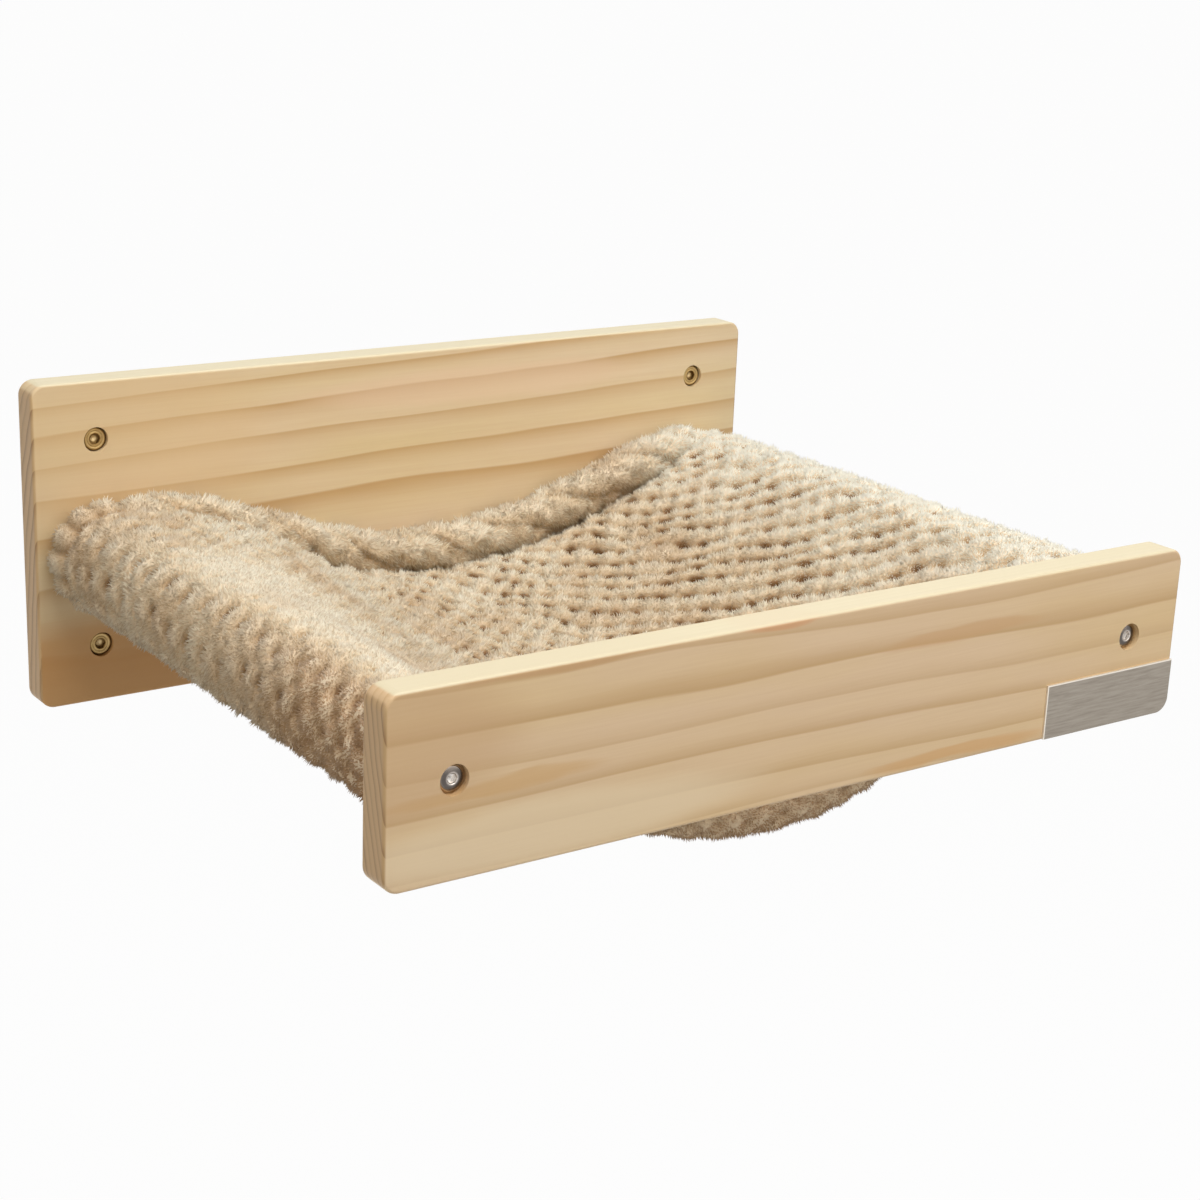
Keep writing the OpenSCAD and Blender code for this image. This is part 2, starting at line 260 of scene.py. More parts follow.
def sleeve_radius(side, deep):
    """Radius of a sleeve: another one at the cuffs, with a groove beside each of them."""
    from_end = np.minimum(deep, DEPTH - deep)
    cuff = 1 - step_up(from_end, CUFF_W, CUFF_W + CUFF_EASE)
    groove = bump(from_end, CUFF_W + GROOVE_W, GROOVE_W)
    return SLEEVE_R[side] + (CUFF_R[side] - SLEEVE_R[side]) * cuff - GROOVE_DEEP * groove


def upper_face(x, deep):
    """Height of the sling's upper face before the bubbles: the cloth between the sleeves,
    blended into the top of the sleeve on each side."""
    cloth = cloth_middle(x, deep) + LAYER_T
    cloth = cloth - CLOTH_DIP * step_up(np.abs(x), CLOTH_REACH - 2, ROD_X)
    for side in (-1, 1):
        radius = sleeve_radius(side, deep)
        right, up = SLEEVE_MOVED[side]
        off = np.abs(x - side * ROD_X - right)
        away = np.clip(off / radius, 0, 1)
        over = ROD_Z + up + radius * np.sqrt(1 - away ** 2) - FLANK_SUNK * step_up(away, 0.9, 1)
        cloth = np.where(off < radius, smooth_max(cloth, over, SLEEVE_BLEND), cloth)
    return cloth


def brushed(x, deep):
    """1 on the patch at the left where the pile is brushed flat, else 0, with soft edges. The
    patch widens towards the front."""
    share = deep / DEPTH
    left = BRUSHED_LEFT[0] + BRUSHED_LEFT[1] * share
    right = BRUSHED_RIGHT[0] + BRUSHED_RIGHT[1] * step_up(share, 0.55, 1)
    patch = plateau(x, (left - 7, left + 7), (right - 20, right + 16))
    return patch * step_up(deep, *BRUSHED_FROM)


def relief_share(x, deep):
    """Share of the bubbles' full height on the upper side: little on the brushed patch, and
    less on the way to the right sleeve's top."""
    pale = plateau(x, PALE_FROM, PALE_TO)
    return 1 - FLATTENED * brushed(x, deep) - RIGHT_FLATTENED * pale


def ring_share(x, deep):
    """Share of the rings round the sleeves in the bubbles' pattern. On the left sleeve they
    fade out towards the front."""
    left = LEFT_RINGS - RINGS_LOST * step_up(deep / DEPTH, *RINGS_LOST_AT)
    return left * step_up(-x, *RINGS_FROM) + RIGHT_RINGS * step_up(x, *RINGS_FROM)


def row_share(x, deep):
    """Share of the slanted rows that link the pits on the right slope, less near the wall."""
    share = ROWS * step_up(x, *ROWS_FROM) * (1 - 0.5 * step_up(x, *ROWS_TO))
    return share * (ROWS_AT_WALL + (1 - ROWS_AT_WALL) * step_up(deep, *ROWS_DEPTHS))


def cushion(across, deep, rings, rows):
    """From 0 in the pits to 1 on the bubbles, for two phases. 1 - cos a cos b is 0 at the
    corners and the middles of the cells, where the pits are; a share of 1 - cos b adds rings,
    and one of 1 - cos (a - b) slanted rows. A power and an exponential round the bubbles."""
    wave = rings * np.cos(deep) + rows * np.cos(across - deep)
    wave = wave + (1 - rings - rows) * np.cos(across) * np.cos(deep)
    level = np.clip((1 - wave) / 2, 0, 1)
    return 0.6 * level ** 0.7 + 0.4 * (1 - np.exp(-7 * level))


def bubbles(s, deep, x, seed):
    """Height of the plush, from 0 to 1, at the distance s across the cloth and a depth, with
    cells that wander a little."""
    s = s + WANDER * waves(seed, WANDER_L, s, deep)
    deep = deep + WANDER * waves(seed + 1, WANDER_L, s, deep)
    turn = TURN / CELL
    height = cushion(turn * s, turn * deep, ring_share(x, deep), row_share(x, deep))
    return 1 - (1 - height) * (1 - UNEVEN * np.clip(waves(seed + 3, UNEVEN_L, s, deep), -1, 1))


def cuff_lobes(s, from_end):
    """Height of the round lobes in one row round a cuff: |cos| along the row, and a half
    ellipse across it."""
    row = 0.45 + 0.55 * np.abs(np.cos(math.pi * s / LOBE))
    crown = np.sqrt(np.clip(1 - ((from_end - CUFF_W / 2) / (CUFF_W * 0.55)) ** 2, 0, 1))
    return row * (0.3 + 0.7 * crown)


# Meshes

def unit(vectors):
    """Vectors of length 1 in the same directions."""
    return vectors / np.maximum(np.linalg.norm(vectors, axis=-1, keepdims=True), 1e-9)


def grid_quads(rows, cols, wrap_rows=False, wrap_cols=False, first=0):
    """Faces of a grid of points, facing the side from which the columns run to the right as
    the rows run towards the viewer."""
    r, c = np.indices((rows - (not wrap_rows), cols - (not wrap_cols)))
    next_r = (r + 1) % rows
    next_c = (c + 1) % cols
    corners = (r * cols + c, next_r * cols + c, next_r * cols + next_c, r * cols + next_c)
    return np.stack(corners, -1).reshape(-1, 4) + first


def grid_normals(points, wrap_rows=False, wrap_cols=False):
    """Unit normals of a grid: the cross product of its steps along rows and columns."""
    def steps(axis, wrap):
        if wrap:
            return np.roll(points, -1, axis) - np.roll(points, 1, axis)
        return np.gradient(points, axis=axis)
    return unit(np.cross(steps(0, wrap_rows), steps(1, wrap_cols)))


def new_piece(name, points, faces, material, values=None, normals=None):
    """Adds a piece from points in millimetres and arrays of faces, with values kept as
    attributes of its points, and puts it on the part's one body."""
    mesh = bpy.data.meshes.new(name)
    mesh.vertices.add(len(points))
    mesh.vertices.foreach_set("co", (points * MM).astype(np.float32).ravel())
    sizes = np.concatenate([np.full(len(f), f.shape[1]) for f in faces])
    corners = np.concatenate([f.ravel() for f in faces])
    mesh.loops.add(len(corners))
    mesh.loops.foreach_set("vertex_index", corners.astype(np.int32))
    mesh.polygons.add(len(sizes))
    starts = np.concatenate([[0], np.cumsum(sizes)[:-1]])
    mesh.polygons.foreach_set("loop_start", starts.astype(np.int32))
    mesh.polygons.foreach_set("use_smooth", np.ones(len(sizes), dtype=bool))
    mesh.update(calc_edges=True)
    mesh.validate()
    for key, value in (values or {}).items():
        held = mesh.attributes.new(key, "FLOAT", "POINT")
        held.data.foreach_set("value", np.asarray(value, dtype=np.float32).ravel())
    if normals is not None:
        mesh.normals_split_custom_set_from_vertices(normals.astype(np.float32))
    piece = bpy.data.objects.new(name, mesh)
    scene.collection.objects.link(piece)
    mesh.materials.append(material)
    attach(piece, "root")
    return piece


def slab_between(front, back, skip):
    """Points and faces of a closed slab: a fine front grid, a back grid that keeps every
    skip-th point, and a rim of faces between them. Both grids have the same rows and columns,
    and skip divides the steps of both."""
    rows, cols = front.shape[:2]
    coarse = back[::skip, ::skip]
    back_rows, back_cols = coarse.shape[:2]
    first = rows * cols
    points = np.concatenate([front.reshape(-1, 3), coarse.reshape(-1, 3)])
    back_quads = grid_quads(back_rows, back_cols, first=first)[:, ::-1]
    fine = np.arange(rows * cols).reshape(rows, cols)
    thin = np.arange(back_rows * back_cols).reshape(back_rows, back_cols) + first
    rims = []
    for f, b, turn in ((fine[0], thin[0], 1), (fine[-1], thin[-1], -1),
                       (fine[:, 0], thin[:, 0], -1), (fine[:, -1], thin[:, -1], 1)):
        k = np.arange(len(b) - 1)
        parts = [f[k * skip + i] for i in range(skip + 1)] + [b[k + 1], b[k]]
        rim = np.stack(parts, -1)
        rims.append(rim[:, ::turn])
    return points, [grid_quads(rows, cols), back_quads] + rims


def tube_faces(rows, cols):
    """Faces of a tube of rows round its axis, with triangles that close each end on a middle
    point. The two middle points come after the rows' own points."""
    c = np.arange(cols)
    middle = rows * cols
    last = middle - cols
    start = np.stack([(c + 1) % cols, np.full(cols, middle), c], -1)
    end = np.stack([last + c, np.full(cols, middle + 1), last + (c + 1) % cols], -1)
    return [grid_quads(rows, cols, False, True), start, end]


# Length and root radius of the wisps of the pile, and how far they keep off the boards
WISP_L = 3.1
WISP_R = 0.56
BOARD_GAP = 0.3
# Corners of a wisp's root, which is a triangle, and how far it is sunk in the plush
WISP_TURNS = (0, TURN / 3, 2 * TURN / 3)
ROOT_SUNK = 0.6
WISPS_IN_PIECE = 48000
# How much the wisps differ in length and in width, and the length that is left in the pits
LENGTHS = (0.7, 1.2)
WIDTHS = (0.8, 1.2)
PIT_LENGTH = 0.4
# How far the wisps lean with smooth noise and at random, and which way the pile is combed
LEAN_SMOOTH = 0.4
LEAN_RANDOM = 0.3
COMBED = np.array([0, -0.25, -0.15])
# Shares of the surface's normal, the wisp's way and the way out of its middle in its normals
SOFT_SHARES = (0.6, 0.45, 0.55)


def pile_on(points, normals, tops, nap, keep, seed, gap, size, wrap_cols=False):
    """Wisps of pile on a grid of points: each is a closed pyramid on three base points whose
    tip leans with smooth noise, shorter in the pits. Nap is the share of a wisp's length, and
    keep the share of the wisps. Returns the four points of each wisp, the values at them and
    their normals."""
    rng = np.random.default_rng(seed)
    rows, cols = points.shape[:2]
    wide = np.linalg.norm(np.diff(points, axis=1), axis=-1).sum(1).mean()
    long = np.linalg.norm(np.diff(points, axis=0), axis=-1).sum(0).mean()
    across = int(wide / gap)
    down = int(long / gap)
    r, c = np.indices((down, across))
    at_r = (r + rng.uniform(0, 1, r.shape)) / down * (rows - 1.001)
    at_c = (c + rng.uniform(0, 1, c.shape)) / across * (cols - (0.001 if wrap_cols else 1.001))
    at_r = at_r.ravel()
    at_c = at_c.ravel()

    def sample(grid):
        i = at_r.astype(int)
        j = at_c.astype(int)
        j_next = (j + 1) % cols
        f = at_r - i
        g = at_c - j
        if grid.ndim == 3:
            f = f[:, None]
            g = g[:, None]
        upper = grid[i, j] * (1 - g) + grid[i, j_next] * g
        lower = grid[i + 1, j] * (1 - g) + grid[i + 1, j_next] * g
        return upper * (1 - f) + lower * f

    chosen = sample(keep) > rng.uniform(0, 1, at_r.shape)
    base = sample(points)[chosen]
    up = unit(sample(normals)[chosen])
    top = sample(tops)[chosen]
    length = sample(nap)[chosen]
    count = len(base)
    x, y, z = base.T
    lean = np.stack([waves(seed + i, 8, x, y, z) for i in (11, 12, 13)], -1) * LEAN_SMOOTH
    lean += rng.normal(size=(count, 3)) * LEAN_RANDOM
    way = unit(up + (lean + COMBED))
    tall = WISP_L * size * length * (PIT_LENGTH + (1 - PIT_LENGTH) * top)
    tall *= 1 + 0.2 * waves(seed + 14, 6, x, y, z)
    tall *= rng.uniform(*LENGTHS, count)
    side = unit(np.cross(way, rng.normal(size=(count, 3))))
    other = np.cross(way, side)
    half = WISP_R * size * rng.uniform(*WIDTHS, count)[:, None]
    sunk = base - up * ROOT_SUNK
    ring = [sunk + half * (math.cos(a) * side + math.sin(a) * other) for a in WISP_TURNS]
    tip = base + way * tall[:, None]
    wisps = np.stack(ring + [tip], 1)
    deep = WALL_FACE - wisps[..., 1]
    clear = ((deep > BOARD_GAP) & (deep < DEPTH - BOARD_GAP)).all(1)
    outward = unit(wisps - (ring[0] + ring[1] + ring[2])[:, None] / 3)
    by_up, by_way, by_outward = SOFT_SHARES
    soft = unit((up * by_up + way * by_way)[:, None] + by_outward * outward)
    four = np.ones((1, 4))
    values = {"tip": np.tile([0.0, 0.0, 0.0, 1.0], (count, 1)),
              "tone": rng.uniform(0, 1, count)[:, None] * four, "height": top[:, None] * four}
    return wisps[clear], {key: value[clear] for key, value in values.items()}, soft[clear]


def add_pile(name, *grid_values):
    """The wisps that pile_on sets on a grid, in as many pieces as their number asks for."""
    wisps, values, soft = pile_on(*grid_values)
    parts = math.ceil(len(wisps) / WISPS_IN_PIECE)
    pieces = []
    for i in range(parts):
        part = slice(i * len(wisps) // parts, (i + 1) * len(wisps) // parts)
        k = np.arange(len(wisps[part]))[:, None] * 4
        faces = np.concatenate([k + np.array([0, 1, 3]), k + np.array([1, 2, 3]),
                                k + np.array([2, 0, 3]), k + np.array([2, 1, 0])])
        label = name if parts == 1 else f"{name}_{i + 1}"
        pieces.append(new_piece(label, wisps[part].reshape(-1, 3), [faces], PILE,
                                {key: value[part] for key, value in values.items()},
                                soft[part].reshape(-1, 3)))
    return pieces


# Materials

def srgb(red, green, blue):
    """A colour given as it shows on a screen, 0 to 255, as linear values with alpha."""
    def linear(v):
        v /= 255
        return v / 12.92 if v <= 0.04045 else ((v + 0.055) / 1.055) ** 2.4
    return (linear(red), linear(green), linear(blue), 1.0)


class Nodes:
    """Short ways to add nodes to a tree and to link them. A colour of three values is one as it
    shows on a screen, 0 to 255."""

    def __init__(self, tree):
        self.tree = tree

    def feed(self, node, inputs):
        for key, value in inputs.items():
            socket = node.inputs[key]
            if isinstance(value, bpy.types.NodeSocket):
                self.tree.links.new(value, socket)
            elif socket.type == "RGBA" and len(value) == 3:
                socket.default_value = srgb(*value)
            else:
                socket.default_value = value

    def add(self, kind, inputs=None, **settings):
        node = self.tree.nodes.new(kind)
        for name, value in settings.items():
            setattr(node, name, value)
        self.feed(node, inputs or {})
        return node

    def group(self, tree, inputs):
        return self.add("ShaderNodeGroup", inputs, node_tree=tree).outputs

    def place(self):
        return self.add("ShaderNodeTexCoord").outputs["Object"]

    def attribute(self, name):
        return self.add("ShaderNodeAttribute", attribute_name=name).outputs["Fac"]

    def in_mm(self, vector):
        """A position in metres as four sockets in millimetres: the whole, X, Y and Z."""
        place = self.add("ShaderNodeVectorMath", {0: vector, "Scale": 1 / MM},
                         operation="SCALE").outputs[0]
        parts = self.add("ShaderNodeSeparateXYZ", {0: place}).outputs
        return place, parts["X"], parts["Y"], parts["Z"]

    def math(self, operation, a, b=0.0):
        return self.add("ShaderNodeMath", {0: a, 1: b}, operation=operation).outputs[0]

    def square_sum(self, a, b):
        return self.math("ADD", self.math("MULTIPLY", a, a), self.math("MULTIPLY", b, b))

    def between(self, value, low, high, to_low=0.0, to_high=1.0, smooth=False):
        return self.add("ShaderNodeMapRange", {
            "Value": value, "From Min": low, "From Max": high, "To Min": to_low,
            "To Max": to_high}, interpolation_type="SMOOTHSTEP" if smooth else "LINEAR").outputs[0]

    def noise(self, vector, scale, detail=2.0, roughness=0.5):
        """Noise with one scale, or with a scale for each axis."""
        if isinstance(scale, tuple):
            vector = self.add("ShaderNodeMapping", {"Vector": vector, "Scale": scale}).outputs[0]
            scale = 1.0
        return self.add("ShaderNodeTexNoise", {
            "Vector": vector, "Scale": scale, "Detail": detail,
            "Roughness": roughness}).outputs["Fac"]

    def mix(self, factor, a, b):
        return self.add("ShaderNodeMix", {0: factor, 6: a, 7: b}, data_type="RGBA").outputs[2]

    def ramp(self, factor, stops):
        node = self.add("ShaderNodeValToRGB", {"Fac": factor})
        elements = node.color_ramp.elements
        while len(elements) < len(stops):
            elements.new(0.5)
        for element, (place, colour) in zip(elements, stops):
            element.position = place
            element.color = srgb(*colour)
        return node.outputs["Color"]

    def dented(self, height, strength, distance):
        return self.add("ShaderNodeBump", {
            "Height": height, "Strength": strength, "Distance": distance}).outputs[0]


def new_material(name):
    """An empty material with its Principled shader, and the Nodes for it."""
    material = bpy.data.materials.new(name)
    material.use_nodes = True
    return material, Nodes(material.node_tree), material.node_tree.nodes["Principled BSDF"]


def new_group(name, values, outputs):
    """An empty node group with a vector and the values as inputs, its Nodes, what it is given
    and the node that collects its outputs."""
    group = bpy.data.node_groups.new(name, "ShaderNodeTree")
    add_socket = group.interface.new_socket
    add_socket("Vector", in_out="INPUT", socket_type="NodeSocketVector")
    for key, start in values.items():
        add_socket(key, in_out="INPUT", socket_type="NodeSocketFloat").default_value = start
    for key in outputs:
        add_socket(key, in_out="OUTPUT", socket_type="NodeSocketFloat")
    nodes = Nodes(group)
    return group, nodes, nodes.add("NodeGroupInput").outputs, nodes.add("NodeGroupOutput")


def pine_grain_group():
    """Growth rings round a far pith line that runs along X: the distance from the line, bent
    a little by slow noise, is cut into rings. Late is 0 in a ring's pale wood, rises to 1 at
    its late wood and falls at once; each ring has its own strength."""
    group, nodes, given, sink = new_group(
        "pine_grain", {"Pith Y": 0.0, "Pith Z": 0.0, "Rise": 0.0, "Pitch": 10.0, "Seed": 0.0},
        ("Late", "Fibre", "Patch"))
    place, x, y, z = nodes.in_mm(given["Vector"])
    shift = nodes.add("ShaderNodeCombineXYZ", {k: given["Seed"] for k in "XYZ"}).outputs[0]
    moved = nodes.add("ShaderNodeVectorMath", {0: place, 1: shift}, operation="ADD").outputs[0]
    bend = nodes.noise(moved, (0.005, 0.012, 0.016), 1.5)
    wander = nodes.noise(moved, (0.004, 0.05, 0.05))
    across = nodes.math("SUBTRACT", y, given["Pith Y"])
    up = nodes.math("SUBTRACT", nodes.math("SUBTRACT", z, given["Pith Z"]),
                    nodes.math("MULTIPLY", x, given["Rise"]))
    radius = nodes.math("ADD", nodes.math("SQRT", nodes.square_sum(across, up)),
                        nodes.between(bend, 0, 1, -1.2, 1.2))
    phase = nodes.math("ADD", nodes.math("DIVIDE", radius, given["Pitch"]),
                       nodes.between(wander, 0, 1, -0.3, 0.3))
    ring = nodes.math("FRACT", phase)
    number = nodes.math("ADD", nodes.math("FLOOR", phase), given["Seed"])
    chance = nodes.add("ShaderNodeTexWhiteNoise", {"W": number}, noise_dimensions="1D")
    strength = nodes.between(chance.outputs["Value"], 0, 1, 0.35, 1.0)
    rising = nodes.math("POWER", nodes.between(ring, 0.35, 0.93), 1.7)
    falling = nodes.between(ring, 0.95, 1.0, 1.0, 0.0)
    nodes.feed(sink, {
        "Late": nodes.math("MULTIPLY", nodes.math("MULTIPLY", rising, falling), strength),
        "Fibre": nodes.noise(moved, (0.02, 0.8, 0.8), 3.0, 0.6),
        "Patch": nodes.noise(moved, (0.006, 0.03, 0.03))})
    return group


def streak_and_shade_group():
    """A soft streak in the wood, also used for painted shade: 1 inside a long ellipse whose edge
    is bent by noise.
    """
    group, nodes, given, sink = new_group(
        "wood_streak_and_shade", {"Middle X": 0.0, "Middle Z": 0.0, "Half Length": 30.0,
                        "Half Width": 3.0}, ("Mask",))
    place, x, _, z = nodes.in_mm(given["Vector"])
    bend = nodes.noise(place, (0.02, 0.05, 0.08))
    z = nodes.math("ADD", z, nodes.between(bend, 0, 1, -4, 4))
    right = nodes.math("SUBTRACT", x, given["Middle X"])
    up = nodes.math("SUBTRACT", z, given["Middle Z"])
    square = nodes.square_sum(nodes.math("DIVIDE", right, given["Half Length"]),
                              nodes.math("DIVIDE", up, given["Half Width"]))
    nodes.feed(sink, {"Mask": nodes.between(square, 0.3, 1.2, 1.0, 0.0, True)})
    return group


def axis_distance_group():
    """Distance in millimetres from lines along Y that lie as far to each side and as far above
    and below the middle as the inputs say."""
    group, nodes, given, sink = new_group(
        "axis_distance", {"Aside": 0.0, "Above": 0.0}, ("Radius",))
    x, z = nodes.in_mm(given["Vector"])[1::2]
    right = nodes.math("SUBTRACT", nodes.math("ABSOLUTE", x), given["Aside"])
    up = nodes.math("SUBTRACT", nodes.math("ABSOLUTE", z), given["Above"])
    nodes.feed(sink, {"Radius": nodes.math("SQRT", nodes.square_sum(right, up))})
    return group


PINE_GRAIN = pine_grain_group()
WOOD_STREAK_AND_SHADE = streak_and_shade_group()
AXIS_DISTANCE = axis_distance_group()


def pine_material(name, grain_values, early, contrast, streaks_and_shades=(), top=None, end=None):
    """Lacquered pine: early wood of two tones, tan late wood, fine fibres, soft streaks, and
    patches of painted shade given like streaks. Where they are given, the top edge above a height
    carries a painted highlight and the sawn ends beyond a distance from the middle are darker. A
    streak is its middle's X and Z, its half length and half width, its colour and its share."""
    material, nodes, shader = new_material(name)
    place = nodes.place()
    grain = nodes.group(PINE_GRAIN, {"Vector": place, **grain_values})
    colour = nodes.mix(nodes.between(grain["Patch"], 0.32, 0.68), *early)
    late = nodes.math("MULTIPLY", grain["Late"], contrast)
    colour = nodes.mix(late, colour, (200, 163, 112))
    fibre = nodes.between(grain["Fibre"], 0.35, 0.7, 0.0, 0.14)
    colour = nodes.mix(fibre, colour, (204, 164, 114))
    for x, z, half_length, half_width, tint, share in streaks_and_shades:
        mask = nodes.group(WOOD_STREAK_AND_SHADE, {
            "Vector": place, "Middle X": x, "Middle Z": z, "Half Length": half_length,
            "Half Width": half_width})["Mask"]
        colour = nodes.mix(nodes.math("MULTIPLY", mask, share), colour, tint)
    if end is not None:
        x, z = nodes.in_mm(place)[1::2]
        sawn = nodes.between(nodes.math("ABSOLUTE", x), end - 1.6, end - 0.5, 0, 1, True)
        sawn_colour = nodes.mix(nodes.math("MULTIPLY", grain["Late"], 0.9), (200, 167, 121),
                                (146, 109, 68))
        colour = nodes.mix(sawn, colour, sawn_colour)
        # Painted highlight along the top edge
        pale = nodes.between(z, top - 1.3, top - 0.4, 0, 1, True)
        colour = nodes.mix(nodes.math("MULTIPLY", pale, 0.85), colour, (229, 220, 188))
    height = nodes.math("SUBTRACT", nodes.math("MULTIPLY", grain["Late"], -0.4), grain["Fibre"])
    nodes.feed(shader, {
        "Base Color": colour, "Roughness": nodes.between(grain["Fibre"], 0.2, 0.8, 0.4, 0.54),
        "Coat Weight": 0.08, "Coat Roughness": 0.35,
        "Normal": nodes.dented(height, 0.1, 0.0006)})
    return material


def plush_material():
    """Plush between its wisps: painted shade, dark brown, in the pits and on the bubbles' front
    slopes, and tan on the bubbles.
    """
    material, nodes, shader = new_material("plush_ground")
    # Low values of the height attribute carry painted shade: the pits are painted dark brown
    colour = nodes.ramp(nodes.attribute("height"), (
        (0.0, (108, 76, 46)), (0.25, (150, 116, 82)), (0.5, (208, 180, 144)),
        (0.8, (236, 216, 186)), (1.0, (246, 232, 208))))
    fuzz = nodes.noise(nodes.place(), 1100.0, 3.0, 0.65)
    colour = nodes.mix(nodes.between(fuzz, 0.4, 0.75, 0.0, 0.4), colour, (178, 146, 110))
    nodes.feed(shader, {
        "Base Color": colour, "Roughness": 0.95, "Specular IOR Level": 0.1,
        "Sheen Weight": 0.1, "Sheen Roughness": 0.5, "Normal": nodes.dented(fuzz, 0.5, 0.001)})
    return material


# Where the pile's painted light and shade lie, in millimetres: painted light in X on the right
# slope, painted shade in X on the left roll's outer side, along that roll from the wall to the
# front, and in Z in the lowest part
PAINTED_LIGHT_SLOPE = (110, 200)
PAINTED_SHADE_ROLL_SIDE = (-198, -216)
PAINTED_SHADE_ROLL_LENGTH = (-200, -345)
PAINTED_SHADE_LOWEST = (-50, -68)


def pile_material():
    """The wisps of the pile: tan at the root and cream at the tip, partly painted shade down in
    the pile and painted highlight on the tips. Painted shade, dark brown, lies in the pits and on
    the bubbles' front slopes, and a painted highlight on the bubbles' crowns; the wisps are also
    paler and darker in turn and in patches. The right slope is paler with painted light. The
    lowest part is browner with painted shade, and so is the left roll's outer side, most of all
    towards the front."""
    material, nodes, shader = new_material("plush_pile")
    place = nodes.place()
    # Tan roots and cream tips, partly painted shade down in the pile and painted highlight on the
    # tips
    colour = nodes.ramp(nodes.attribute("tip"), (
        (0.0, (213, 185, 146)), (0.4, (238, 219, 185)), (1.0, (254, 247, 227))))
    height = nodes.attribute("height")
    # Painted shade: dark brown where the colour's height is low, in the pits and on the bubbles'
    # front slopes
    colour = nodes.mix(nodes.between(height, 0.1, 0.72, 0.95, 0.0), colour, (112, 82, 52))
    # Painted highlight on the bubbles' crowns
    colour = nodes.mix(nodes.between(height, 0.75, 1.0, 0.0, 0.5), colour, (255, 251, 236))
    patch = nodes.noise(place, 22.0)
    colour = nodes.mix(nodes.between(patch, 0.5, 0.72, 0.0, 0.5), colour, (200, 164, 126))
    colour = nodes.mix(nodes.between(patch, 0.47, 0.32, 0.0, 0.5), colour, (255, 249, 229))
    tone = nodes.between(nodes.attribute("tone"), 0.25, 1.0, 0.0, 0.62)
    colour = nodes.mix(tone, colour, (192, 162, 121))
    x, y, z = nodes.in_mm(place)[1:]
    # Painted light on the right slope
    colour = nodes.mix(nodes.between(x, *PAINTED_LIGHT_SLOPE, 0, 0.85, True), colour, (255, 252, 237))
    # Painted shade on the left roll's outer side, more towards the front
    roll = nodes.between(x, *PAINTED_SHADE_ROLL_SIDE, 0, 1, True)
    painted_roll_shade = nodes.math("MULTIPLY", roll, nodes.between(y, *PAINTED_SHADE_ROLL_LENGTH, 0.1, 0.75))
    colour = nodes.mix(painted_roll_shade, colour, (186, 143, 104))
    # Painted shade on the lowest part
    colour = nodes.mix(nodes.between(z, *PAINTED_SHADE_LOWEST, 0, 0.6, True), colour, (206, 158, 114))
    nodes.feed(shader, {"Base Color": colour, "Roughness": 0.85, "Specular IOR Level": 0.12,
                        "Sheen Weight": 0.1, "Sheen Roughness": 0.45})
    return material


# Distance from a bolt's or a screw's axis at which its rings of colour and painted light end
RING_REACH = 8.0


def metal_material(name, colours, roughness, scale, rings=None, highlight_edges=None):
    """A metal with faint streaks: noise, drawn out where its scale is small, mixes the two
    colours and sets the roughness and a shallow bump. Rings are how far the axes of bolts or
    screws lie aside and above, and stops of colour by the distance from them, which paint
    highlights, reflections and shade on the heads. Highlight edges are a plate's left and top
    limits, with a painted highlight there."""
    material, nodes, shader = new_material(name)
    place = nodes.place()
    streak = nodes.noise(place, scale, 3.0, 0.6)
    colour = nodes.mix(nodes.between(streak, 0.35, 0.7), *colours)
    if rings is not None:
        aside, above, stops = rings
        radius = nodes.group(AXIS_DISTANCE, {"Vector": place, "Aside": aside, "Above": above})[0]
        ring_colour_and_light = nodes.ramp(nodes.math("DIVIDE", radius, RING_REACH),
                          [(at / RING_REACH, tint) for at, tint in stops])
        colour = nodes.mix(0.85, colour, ring_colour_and_light)
    if highlight_edges is not None:
        # Painted highlight along the plate's left and top edges
        left, top = highlight_edges
        x, z = nodes.in_mm(place)[1::2]
        painted_edge_highlight = nodes.math("MAXIMUM", nodes.between(x, left + 0.9, left + 0.5),
                            nodes.between(z, top - 0.9, top - 0.5))
        colour = nodes.mix(painted_edge_highlight, colour, (228, 222, 212))
    rough = nodes.between(streak, 0.3, 0.7, roughness * 0.8, roughness * 1.3)
    nodes.feed(shader, {"Base Color": colour, "Roughness": rough, "Metallic": 1.0,
                        "Normal": nodes.dented(streak, 0.08, 0.0002)})
    return material


# The boards' limits, and the screws' and the plate's places
_, wall_high = box_mm("wall_board")
front_low, front_high = box_mm("front_board")
screw_low, screw_high = box_mm("wall_screw_upper_right")
plate_low, plate_high = box_mm("blank_plate")
BOARD_END = wall_high[0]
FRONT_FACE = front_low[1]
SCREW_X, _, SCREW_Z = (screw_low + screw_high) / 2

# Of these streaks, the second makes the board's upper left a little browner, and the last is a
# painted shadow: warm brown over the lower left, under the left sleeve
WALL_PINE = pine_material(
    "wall_pine", {"Pith Y": -406.0, "Pith Z": -97.0, "Rise": 0.03, "Pitch": 6.3, "Seed": 11.0},
    ((226, 206, 163), (230, 209, 177)), 0.95, (
        (40, 66, 120, 12, (236, 208, 178), 0.5), (-185, 50, 95, 62, (226, 197, 152), 0.5),
        (-170, -76, 190, 40, (203, 149, 84), 0.8)), wall_high[2], BOARD_END)
